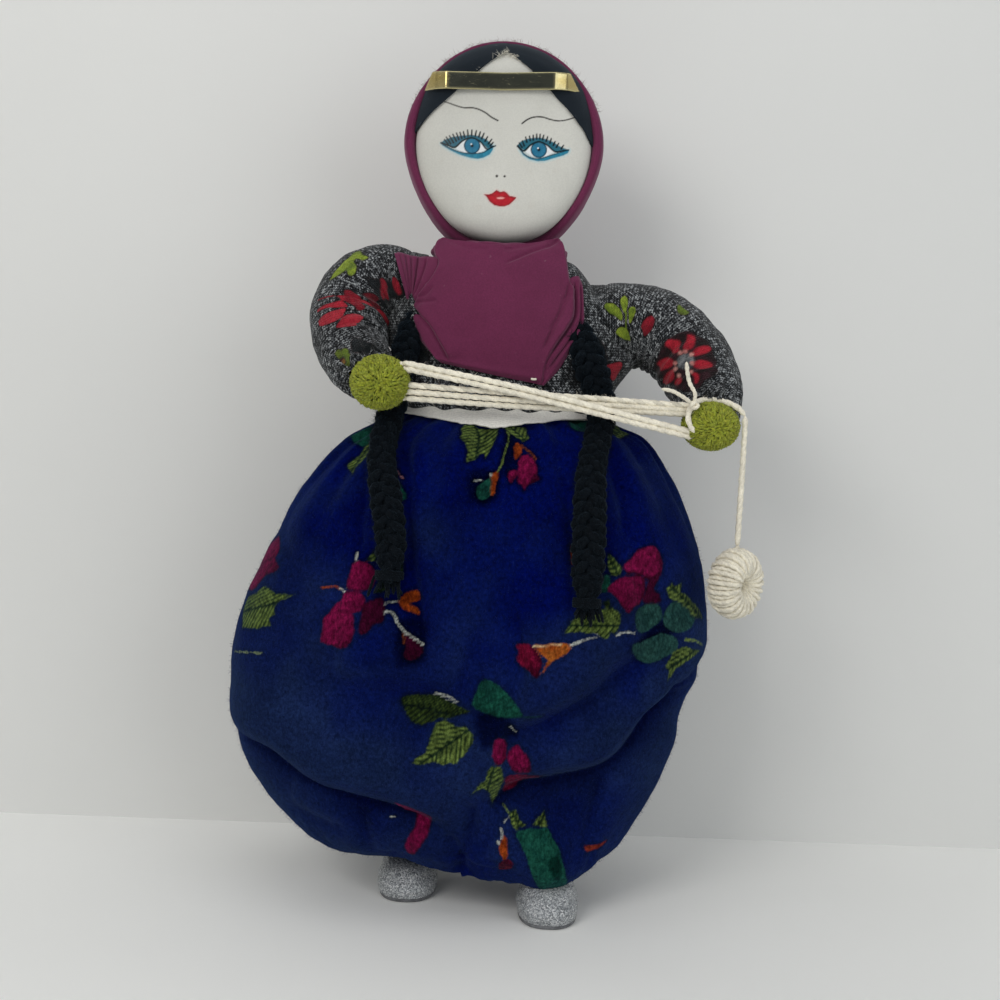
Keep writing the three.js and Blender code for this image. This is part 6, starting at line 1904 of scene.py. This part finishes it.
MOTIFS = [
    [dk([(352, 433.4), (363, 429.1), (375.2, 427.9), (372.8, 438.3), (363, 445.6), (355.7, 443.1)]),
     lf([(347.2, 465.1), (352, 460.2), (359.4, 455.3), (364.2, 445.6), (371.5, 439.5), (372.8, 444.4), (367.9, 455.3), (363, 462.6), (355.7, 467.5), (354.5, 475.4), (350.8, 471.2)]),
     ln([(388, 457.1), (393.5, 459)], 0.5), ln([(393.5, 467.5), (398.3, 473.6), (402.6, 477.9)], 0.6, lin("#9a6a70")), dk([(390, 484), (400, 485), (405, 496), (398, 504), (391, 497)])],
    [pt([(278.6, 536.5), (279.6, 547.3), (275.3, 558.2), (278.6, 569), (264.5, 575.5), (255.8, 588.5), (250.4, 589.5), (252.6, 577.6), (258, 566.8), (266.6, 551.7)]),
     lf([(249.3, 597.1), (258, 592.8), (264.5, 586.3), (271, 589.5), (277.5, 593.9), (294.8, 595), (281.8, 600.4), (275.3, 605.8), (275.3, 614.5), (268.8, 618.8), (271, 625.3), (260.2, 628.5), (245, 628.5), (245, 610.1)]),
     ln([(237.4, 651.3), (250.4, 652.3), (263.4, 653)], 0.5, lin("#8a9a70"))],
    [ink([(398.9, 622.8), (425.3, 620), (426.7, 642), (423.9, 660), (407.2, 664.4), (398.9, 661.7)], 0.8),
     pt([(355.8, 562.4), (351.7, 572.8), (348.6, 582.5), (349.6, 588.8), (357.2, 590.8), (365.6, 590.1), (372.5, 588.1), (376, 581.1), (376.7, 572.8), (372.5, 565.8), (364.2, 562.4)]),
     pt([(346.8, 592.2), (357.2, 591.5), (364.9, 596.4), (366.3, 603.3), (363.5, 610.3), (354.4, 613.1), (343.3, 610.3), (342.6, 603.3), (344, 596.4)]),
     pt([(342.6, 601.9), (335, 606.8), (329.4, 614.4), (324.6, 617.2), (324.6, 622.8), (328, 628.3), (337.8, 622.8), (341.9, 611.7)]),
     pt([(325.3, 617.2), (337.8, 613), (351.7, 611.7), (355.8, 618.6), (355.8, 628.3), (354.4, 639.4), (350.3, 645), (341.9, 647), (329.4, 643.6), (322.5, 640.8), (324.6, 631.1)]),
     pt([(365.6, 604.7), (372.5, 600.6), (382.2, 597.8), (385, 604.7), (385.7, 614.4), (383.6, 621.4), (373.9, 624.2), (371.1, 628.3), (365.6, 633.9), (361.4, 631.1), (362, 620), (363.5, 610.3)], MAGD, MAG),
     ln([(322, 588), (329, 587), (337, 586.5), (342, 589)], 1.0, ORANGE), ln([(341, 588), (346, 591.5)], 0.75), ln([(357.8, 553.5), (357.2, 561)], 0.6),
     lf([(368.3, 558.9), (373.9, 553.3), (377.4, 556.1), (376.7, 560.3), (371, 561)]),
     lf([(376.7, 592.2), (379.4, 581.1), (387.8, 572.8), (396, 565.8), (402.4, 563), (403, 571.4), (398.9, 578.3), (390.6, 586.7), (382.2, 592.2)], LEAFD, LEAFK),
     dk([(398.9, 600.6), (405.8, 593.6), (414.2, 590.8), (419, 593.6), (419, 599.9), (412, 602), (410, 604.7), (416.9, 607.5), (419.7, 614.4), (411.4, 611.7), (407.2, 610.3), (401.7, 606)], ORANGE, ORANGE2),
     ln([(387.8, 602.6), (398.9, 601.3)], 0.5), ln([(386.4, 611.7), (393.3, 613), (398.9, 622.8), (405.8, 631), (411.4, 635.3), (423.9, 643.6)], 0.8),
     pt([(405.8, 633.9), (415.6, 639.4), (423.2, 647.8), (421, 654.7), (412.8, 658.9), (405.8, 654.7), (407.2, 645)], MAGD, MAG), ln([(404, 634), (405, 643)], 0.65, BROWN)],
    [ink([(505, 432), (516, 436), (516, 460), (508, 474), (502, 468)], 0.8), ink([(470, 474), (490, 470), (498, 480), (496, 498), (484, 505), (470, 498)], 0.8),
     lf([(464.2, 425.6), (471.9, 425.6), (478.9, 428), (499, 426.2), (496.6, 435), (491.9, 445.7), (485.4, 458), (484.8, 451.6), (480.7, 452.8), (475.4, 458.7), (466.6, 462.8), (468.3, 453.9), (465.4, 444.5),
         (461.2, 439.8), (460.7, 430.3)]), ln([(487, 428), (478, 450)], 0.5, LEAFD),
     lf([(500.2, 424.4), (510.8, 423.9), (525.6, 425), (527.9, 436.2), (522.6, 440.4), (513.2, 435.1), (506, 430.3)]),
     ln([(507.3, 432.7), (507.9, 444.5), (502.5, 462.2), (497.8, 471.6)], 0.5, LEAF2), dk([(513.8, 446.9), (517.9, 441.6), (521.4, 445.7), (521.4, 452.8), (515.5, 458.7), (514.3, 452.8)], ORANGE, ORANGE2),
     ln([(521.4, 443.3), (530.9, 451.6), (536.2, 457.5)], 0.75, BROWN),
     pt([(520.2, 457.5), (527.3, 453.9), (534.4, 458.7), (537.4, 468.1), (534.4, 478.7), (527.3, 485.8), (524.4, 490.5), (521.4, 485.8), (517.3, 481.1), (517.9, 474)]),
     pt([(508.4, 474), (514.3, 470.5), (519, 472.8), (515.5, 478.7), (510.8, 483.4), (508.4, 481)]), pt([(534.4, 474), (540.3, 478.7), (536.8, 481), (529.7, 483.4)], MAGD, MAG),
     dk([(490.7, 477.5), (484.8, 481), (477.8, 487), (476.6, 495.2), (482.5, 500), (489.6, 495.2), (491.9, 485.8)]),
     dk([(490.7, 475.2), (496.6, 472.2), (497.8, 476.4), (496, 484.6), (493.1, 495.2), (490.7, 490.5), (491.9, 482.3)], ORANGE, ORANGE2), ln([(474.2, 480.5), (481.3, 479.3)], 0.45), dot(490.7, 474.6, 1.6)],
    [dk([(570, 418), (584, 413), (590, 425), (580, 433), (571, 429)]), lf([(605, 424), (618, 424), (628, 435), (616, 437)])],
    [lf([(606.8, 553.3), (612.7, 560), (619.3, 566.7), (617.7, 575), (609.3, 575), (606, 565)]), dk([(597.7, 581.7), (606, 575), (607.7, 581.7), (602.7, 591.7), (596.8, 588.3)]),
     pt([(622.7, 565), (630.2, 558.3), (636, 551.7), (642.7, 547.5), (652.7, 546.7), (658.5, 553.3), (661, 563.3), (659.3, 571.7), (649.3, 580), (641, 575), (626, 571.7)]),
     pt([(606.8, 586.7), (617.7, 578.3), (632.7, 575.8), (642.7, 579.2), (644.3, 590), (639.3, 601.7), (631, 606.7), (624.3, 612.5), (618.5, 606.7), (614.3, 596.7), (608.5, 591.7)]),
     pt([(649.3, 579.2), (657.7, 571.7), (659.3, 573.3), (652.7, 588.3), (657.7, 595), (657.7, 601.7), (642.7, 601.7), (644.3, 590)], MAGD, MAG), ln([(626, 572.5), (639, 576), (648, 580)], 0.7, MAGD),
     lf([(563.5, 631.7), (569.3, 620), (579.3, 611.7), (594.3, 610), (609.3, 606.7), (616.8, 613.3), (616, 621.7), (611, 633.3), (606.8, 630.8), (604.3, 635.8), (599.3, 636.7), (592.7, 632.5), (579.3, 630.8)]),
     lf([(599.3, 601.7), (606, 600), (609.3, 606.7), (602.7, 608.3)], LEAFD, LEAFK), ln([(569.3, 644), (579.3, 639), (594.3, 635)], 0.7), ln([(611.8, 633.3), (619.3, 630.8), (629.3, 631.7)], 0.7),
     ink([(624.3, 650), (642.7, 633.3), (662.7, 620), (686, 616.7), (669.3, 633.3), (644.3, 641.7)], 0.9),
     dk([(633.5, 611.7), (642.7, 605), (652.7, 603.3), (659.3, 610), (657.7, 620), (642.7, 630.8), (634.3, 630), (631.8, 621.7)], TEAL, TEAL2),
     dk([(662.7, 610), (672.7, 601.7), (682.7, 606.7), (691, 615), (686, 626.7), (672.7, 631.7), (661, 623.3)], TEAL, TEAL2),
     dk([(627.7, 643.3), (642.7, 640), (657.7, 633.3), (671, 636.7), (672.7, 646.7), (662.7, 655), (644.3, 661.7), (634.3, 655)], TEAL, TEAL2),
     lf([(664.3, 588.3), (669.3, 583.3), (672.7, 586.7), (679.3, 581.7), (677.7, 591.7), (686, 598.3), (694.3, 606.7), (699.3, 618.3), (689.3, 616.7), (684.3, 608.3), (676, 601.7), (667.7, 598.3)]),
     ln([(680, 638.3), (689.3, 640), (698.5, 645)], 1.0, LEAF2),
     lf([(664.3, 660), (669.3, 650), (679.3, 645), (686, 648.3), (694.3, 650), (684.3, 656.7), (671, 666.7), (666, 675), (662.7, 678.3), (665, 668.3), (661, 665)]),
     dk([(571, 546), (575, 553), (575, 563), (571, 562)], BROWN, ORANGE2)],
    [pt([(516.7, 645.6), (524.1, 643.4), (530.8, 644.9), (535.3, 649.4), (538.3, 654.6), (541.3, 659.8), (540.5, 667.2), (537.5, 674.7), (533.1, 675.4), (527.9, 669.5), (520.4, 665), (516.7, 657.6), (518.9, 652.3)],
        MAGD, lin("#7c1232")),
     dk([(534.2, 644.5), (541.3, 644.1), (549.4, 642.7), (560.6, 642.3), (567.3, 644.5), (567.3, 649.4), (562.1, 653.8), (556.2, 656.8), (550.2, 659.8), (545.7, 665), (540.5, 671.3), (542.8, 666.5), (545.7, 661.3),
         (547.2, 658.3), (542.8, 654.6), (538.3, 650.8), (536.8, 647.9)], ORANGE, lin("#a75e26")), ln([(534.2, 645), (541, 645), (550, 643.3), (560, 643)], 0.4, lin("#e9d0a0")), ln([(568.8, 644.1), (580, 639.7)], 0.7)],
    [ink([(478, 713.5), (507.5, 717), (518, 736), (498.8, 736), (483.2, 744.8)], 0.85),
     dk([(472.8, 699.6), (479.7, 683.9), (486.7, 679.6), (498.8, 685.6), (511, 697.8), (521.4, 711.7), (514.5, 715.2), (497.1, 715.2), (476.2, 707.4)]), ln([(521.4, 714.3), (540.6, 714.3)], 0.55, DGREEN2),
     ln([(436.2, 692.6), (448.4, 696), (458, 701.3)], 0.55),
     lf([(400.6, 699.6), (405, 696), (417.1, 694.3), (436.2, 694.3), (455.4, 703), (469.3, 710), (455.4, 715.2), (438, 716.9), (429.3, 720.4), (422.3, 723.9), (411.9, 720.4), (408.4, 715.2), (401.5, 704.8)], LEAFD, LEAFK),
     lf([(413.6, 760.4), (417.1, 755.2), (425.8, 750), (431, 736.1), (436.2, 722.2), (444.9, 717.8), (455.4, 723.9), (465.8, 723.9), (472.8, 730.8), (471, 743), (464.1, 751.7), (457.1, 760.4), (450.2, 758.7),
         (444.9, 762.1), (434.5, 758.7), (420.6, 762.1)]), ln([(510.1, 724.8), (516.2, 731.7)], 0.75)],
    [pt([(491.9, 748.2), (494.5, 738.7), (499.7, 736.1), (505.8, 739.5), (506.7, 748.2), (504, 758.7), (497.1, 762.1), (492.7, 755.2)]),
     pt([(507.5, 753.4), (516.2, 744.8), (523.2, 750), (528.4, 758.7), (531, 769.1), (523.2, 770.8), (512.7, 767.4)]),
     pt([(507.5, 774.3), (524.9, 772.6), (547.5, 777.8), (524.9, 783), (514.5, 791.7), (504, 795.2), (505.8, 783)], MAGD, lin("#7c1232")),
     lf([(486.7, 767.4), (491.9, 762.1), (500.6, 764.8), (504, 777.8), (498.8, 795.2), (491.9, 807.3), (490.1, 791.7), (483.2, 784.7), (471, 791.7), (478, 783), (484.9, 776)])],
    [lf([(512.5, 811.4), (516.1, 811.4), (519.1, 819.3), (525.8, 825.9), (516.1, 828.9), (512.5, 824.1), (508.9, 813.2)]), ln([(504.7, 807.8), (509, 813.5)], 0.55, LEAF2),
     lf([(533, 827.1), (539, 819.3), (541.4, 818.7), (546.2, 813.2), (546.2, 820.5), (548.6, 828.3), (540.2, 828.3)]),
     dk([(516.1, 832.5), (528.2, 830.1), (540.2, 830.1), (548.6, 830.1), (553.5, 839.7), (559.5, 850.6), (561.9, 862.6), (565.5, 874.7), (561.9, 889.1), (552.3, 891.5), (540.2, 889.1), (531.8, 872.3), (527, 857.8),
         (519.7, 840.9)], lin("#1c5143"), lin("#123e36")),
     dk([(548.6, 860.2), (554.7, 856.6), (559.5, 859), (561.9, 867.4), (559.5, 877.1), (554.7, 878.3), (549.9, 869.9)], lin("#08261f"), lin("#0b332a")),
     ln([(501, 827), (502, 836)], 0.65), ln([(503.5, 821.7), (507.7, 817.5)], 0.6), dot(498.7, 839.7, 1.6),
     dk([(502.9, 832.5), (506.5, 837.3), (507.7, 848.2), (505.3, 857.2), (501.7, 851.8), (499.3, 844.6), (501.7, 837.3)], ORANGE, ORANGE2),
     dk([(501.7, 857.8), (508.9, 856.6), (513.7, 862.6), (510.1, 866.8), (500.5, 866.8)], lin("#5a1420"), MAGD)],
    [pt([(587.2, 848.2), (595.6, 845.8), (606.5, 839.7), (600.4, 845.8), (590.8, 853)], lin("#5a1a14"), lin("#8a3424"))],
    [pt([(394.3, 801), (399.4, 801.8), (412.9, 806), (424.7, 811.9), (431.4, 817.8), (429.7, 827.9), (426.4, 837.2), (419.6, 847.3), (412.9, 852.4), (406.1, 847.3), (405.3, 842.3), (410.4, 834.7), (415.4, 825.4),
         (416.3, 817.8), (409.5, 815.3), (401.1, 811.9)]), ln([(390.1, 819.1), (393.9, 819.1)], 0.6)],
]


colf = lay_print(stf, MOTIFS, tc)


def on_back(q):
    r = tc(q)
    r = r.copy()
    r[:, 0] = -r[:, 0] * 0.96 + 8
    r[:, 1] = r[:, 1] - 14 + 0.08 * r[:, 0]
    return r


colb = lay_print(np.stack([SB, TB], -1).reshape(-1, 2), MOTIFS, on_back)
col = np.concatenate([colf.reshape(NV, NF, 4), colb.reshape(NV, NB, 4)[:, ::-1][:, 1:-1]], 1)
trousers = grid_object("trousers_cloth", P, MAT_BLUE, wrap=True, flip=True, color=col.reshape(-1, 4))
carry(trousers, "torso", "blue_print", "trousers", "trouser_wadding", "hip_block", "leg_stick_right", "leg_stick_left")
inkf, inkb = lay_ink(stf, MOTIFS, tc), lay_ink(np.stack([SB, TB], -1).reshape(-1, 2), MOTIFS, on_back)
dark = np.concatenate([inkf.reshape(NV, NF), inkb.reshape(NV, NB)[:, ::-1][:, 1:-1]], 1)
# painted shade darkens the ground down in the folds; painted sheen makes their tops paler below
dark = np.maximum(dark, 0.7 * smoothstep(-0.9, -4.2, fold_h))
trousers.data.attributes.new("Ink", "FLOAT", "POINT").data.foreach_set("value", dark.reshape(-1).astype(np.float32))
# painted sheen: paler towards the bottom, towards the sides and along fold tops; random pale patches from the noise
sheen_and_wear = 0.5 * smoothstep(150, 60, P[..., 2]) + 0.45 * smoothstep(35, 100, np.abs(P[..., 0])) + 0.5 * fbm(P / 24.0, 3, 341) + 0.35 * smoothstep(1.0, 3.4, fold_h)
sheen_and_wear = np.clip(sheen_and_wear, 0, 1) * (1 - dark)
trousers.data.attributes.new("SheenAndWear", "FLOAT", "POINT").data.foreach_set("value", (0.98 * sheen_and_wear).reshape(-1).astype(np.float32))
# loose nap
pile = Pile()
nap_n = grid_normals(P, True, True)
if nap_n[120, NF // 2] @ np.array([0, -1.0, 0]) < 0:
    nap_n = -nap_n
free = np.zeros((NV, NU), bool)
free[14:ROWS - 6] = True
base = col.reshape(-1, 4)
keep = free.reshape(-1) & (base[:, 3] < 0.42)
fuzz(pile, P.reshape(-1, 3)[keep], nap_n.reshape(-1, 3)[keep], 10000, 1.9, 0.042, 331, 1.0, 1.6)
nap_ob = pile.object("trousers_nap", MAT_NAP)
carry(nap_ob, "torso", "blue_print")


# ------------------------------------------------------------------- braids
def braid(name, top_pts, node_top, node, tie_node, pivot, seed):
    """Three fuzzy yarns plaited, tied off near the end."""
    pile = Pile()
    c = curve(top_pts, 300)
    path, wid = c[:, :3], c[:, 3] * 1.24
    t, n, bb = transport(path)
    run = np.concatenate([[0], np.cumsum(np.linalg.norm(np.diff(path, axis=0), axis=1))])
    # across the front, so the plait lies flat on what is behind it
    out = np.array([0, -1.0, 0])
    fx = unit(np.cross(t, out))
    fy = unit(np.cross(fx, t))
    rng = np.random.default_rng(seed)
    L_ = run[-1]
    for k in range(3):
        ph = 2 * np.pi * (run / 15.0) + k * 2 * np.pi / 3
        pull = smoothstep(L_, L_ - 12, run)
        line = path + fx * (wid * 0.27 * np.sin(ph) * pull)[:, None] + fy * (wid * 0.15 * np.sin(2 * ph))[:, None]
        for j in range(3):
            a = 2 * np.pi * j / 3 + run / 5.0
            sub = line + fx * (wid * 0.11 * np.cos(a))[:, None] + fy * (wid * 0.11 * np.sin(a))[:, None]
            yarn(pile, sub, float(wid.mean()) * 0.155, pitch=5.0, plies=2, sides=6, per_turn=7, seed=seed + 7 * k + j, shade=0.85 + 0.3 * rng.random(), taper=True)
        fuzz(pile, line + fy * (wid * 0.18)[:, None], unit(fy + 0.9 * fx * np.sign(np.sin(ph))[:, None]), 2000, 4.6, 0.064, seed + 31 + k, 1.0, 1.8)
        fuzz(pile, line, unit(fx * np.sign(np.sin(ph + 0.3))[:, None] + 0.25 * fy), 1900, 5.6, 0.064, seed + 41 + k, 1.0, 1.8)
    # tie: a few turns of yarn, and loose ends below
    e = path[-1]
    tt = unit(path[-1] - path[-8])
    q = np.linspace(0, 2 * np.pi * 3.4, 90)
    ring = e - tt * 4.5 + tt[None] * (q / q[-1] * 3.2)[:, None] + fx[-1][None] * (np.cos(q) * wid[-1] * 0.62)[:, None] + fy[-1][None] * (np.sin(q) * wid[-1] * 0.5)[:, None]
    yarn(pile, ring, 0.75, 3.0, seed=seed + 61, shade=0.9)
    for j in range(16):
        d = unit(tt + 0.45 * rng.standard_normal(3) * np.array([1, 0.35, 0.6]))
        s0 = e - tt * 3 + 0.3 * wid[-1] * (fx[-1] * rng.standard_normal() + 0.5 * fy[-1] * rng.standard_normal())
        ln_ = 5.0 + 4.5 * rng.random()
        pts = np.array([s0, s0 + d * ln_ * 0.5, s0 + d * ln_ + np.array([0, 0, -0.8])])
        yarn(pile, curve(pts, 30), 0.7, 3.6, seed=seed + 70 + j, shade=0.8 + 0.4 * rng.random(), taper=True)
    ob = pile.object(name, MAT_BLACK)
    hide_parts(node_top, node, tie_node)
    Wt(pivot + np.array([0, 0, 5.0]))
    Wt(pivot + np.array([0, 0, -7.0]))
    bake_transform(ob)
    return ob


BRAID_R = [[-33.0, -14.0, 264, 8.0], [-37.0, -19.0, 251, 10.5], [-39.8, -21.6, 240, 10.0], [-42.0, -23.6, 228, 9.5], [-44.0, -28.6, 216.5, 9.5], [-46.0, -36.0, 206, 9.5],
           [-46.2, -42.0, 196, 10.0], [-43.4, -48.0, 182, 11.5], [-40.6, -52.6, 166, 11.0], [-40.4, -55.2, 154, 9.5], [-40.4, -56.4, 148, 7.0]]
BRAID_L = [[33.0, -18.0, 258, 8.0], [37.4, -23.4, 249, 11.0], [41.0, -25.6, 239, 12.5], [45.0, -25.8, 228, 10.5], [45.8, -30.0, 217, 9.5], [43.4, -36.6, 206, 9.5],
           [41.6, -43.2, 195, 10.5], [41.2, -49.2, 180, 12.0], [41.2, -53.8, 163, 12.0], [41.2, -56.8, 149, 10.5], [41.2, -58.2, 140, 7.0]]
braid("braid_right_plait", BRAID_R, "braid_right_top", "braid_right", "braid_tie_right", np.array([-35.2, -33.8, 217.8]), 401)
braid("braid_left_plait", BRAID_L, "braid_left_top", "braid_left", "braid_tie_left", np.array([42.1, -33.8, 217.8]), 451)


# -------------------------------------------------------------------- shoes
def shoe(name, ankle, seed, node):
    """Glitter-covered upper: full rounded toe, low heel, closed round the ankle."""
    nv_, nu_ = 70, 150
    cx, cy = ankle[0], ankle[1] - 5.0
    a = np.linspace(0, 2 * np.pi, nu_, endpoint=False)
    s, c = np.sin(a), np.cos(a)
    e = 2 / 2.5
    fx = np.sign(s) * np.abs(s) ** e * 13.0
    fy = -np.sign(c) * np.abs(c) ** e * 23.0
    fx = fx * (1 + 0.06 * np.clip(-fy / 23, 0, 1)) * (1 - 0.1 * np.clip(fy / 23, 0, 1))
    P = np.zeros((nv_, nu_, 3))
    for i, v in enumerate(np.linspace(0, 1, nv_)):
        ph = v * np.pi / 2
        k = math.cos(ph) ** 0.62 if v < 1 else 0.0
        hgt_ = 2.0 + (18.6 - 2.0) * math.sin(ph) ** 0.9
        toe = np.clip(-fy / 23, 0, 1)
        top = 1 - 0.10 * toe ** 2
        bulge = 1 + 0.05 * math.sin(min(v * 3.2, 1) * np.pi) * (v < 0.4)
        P[i, :, 0] = cx + fx * k * bulge
        P[i, :, 1] = cy + fy * k * bulge + (1 - k) * 3.0
        P[i, :, 2] = 2.0 + (hgt_ - 2.0) * top
    nr_ = grid_normals(P, True, False)
    if nr_[20, 0] @ np.array([0, -1.0, 0]) < 0:
        nr_ = -nr_
    h_ = 0.5 * fbm(P / 7.0, 3, seed) + 0.22 * fbm(P / 1.1, 2, seed + 1)
    P = P + nr_ * h_[..., None]
    P[0, :, 2] = 1.9
    ob = grid_object(name, P, MAT_GLITTER, wrap=True, flip=False)
    carry(ob, "torso", "silver_glitter", node)
    return ob


def sole(name, ankle, node):
    nu_ = 150
    cx, cy = ankle[0], ankle[1] - 5.0
    a = np.linspace(0, 2 * np.pi, nu_, endpoint=False)
    s, c = np.sin(a), np.cos(a)
    e = 2 / 2.5
    fx = np.sign(s) * np.abs(s) ** e * 13.0
    fy = -np.sign(c) * np.abs(c) ** e * 23.0
    fx = fx * (1 + 0.06 * np.clip(-fy / 23, 0, 1)) * (1 - 0.1 * np.clip(fy / 23, 0, 1))
    prof = [(0.0, 0.0), (0.6, 0.0), (0.93, 0.0), (0.975, 0.25), (0.985, 0.7), (0.985, 1.7), (0.97, 2.3), (0.9, 2.5), (0.5, 2.5)]
    P = np.array([np.column_stack([cx + fx * k, cy + fy * k, np.full(nu_, z_)]) for k, z_ in prof])
    ob = grid_object(name, P, MAT_SOLE, wrap=True, flip=False)
    carry(ob, "torso", "grey_sole", node)
    return ob


ANKLE_R, ANKLE_L = np.array([-31.8, 4.0]), np.array([31.2, -21.0])
shoe("shoe_right_glitter", ANKLE_R, 501, "shoe_right")
shoe("shoe_left_glitter", ANKLE_L, 511, "shoe_left")
sole("sole_right_grey", ANKLE_R, "sole_right")
sole("sole_left_grey", ANKLE_L, "sole_left")
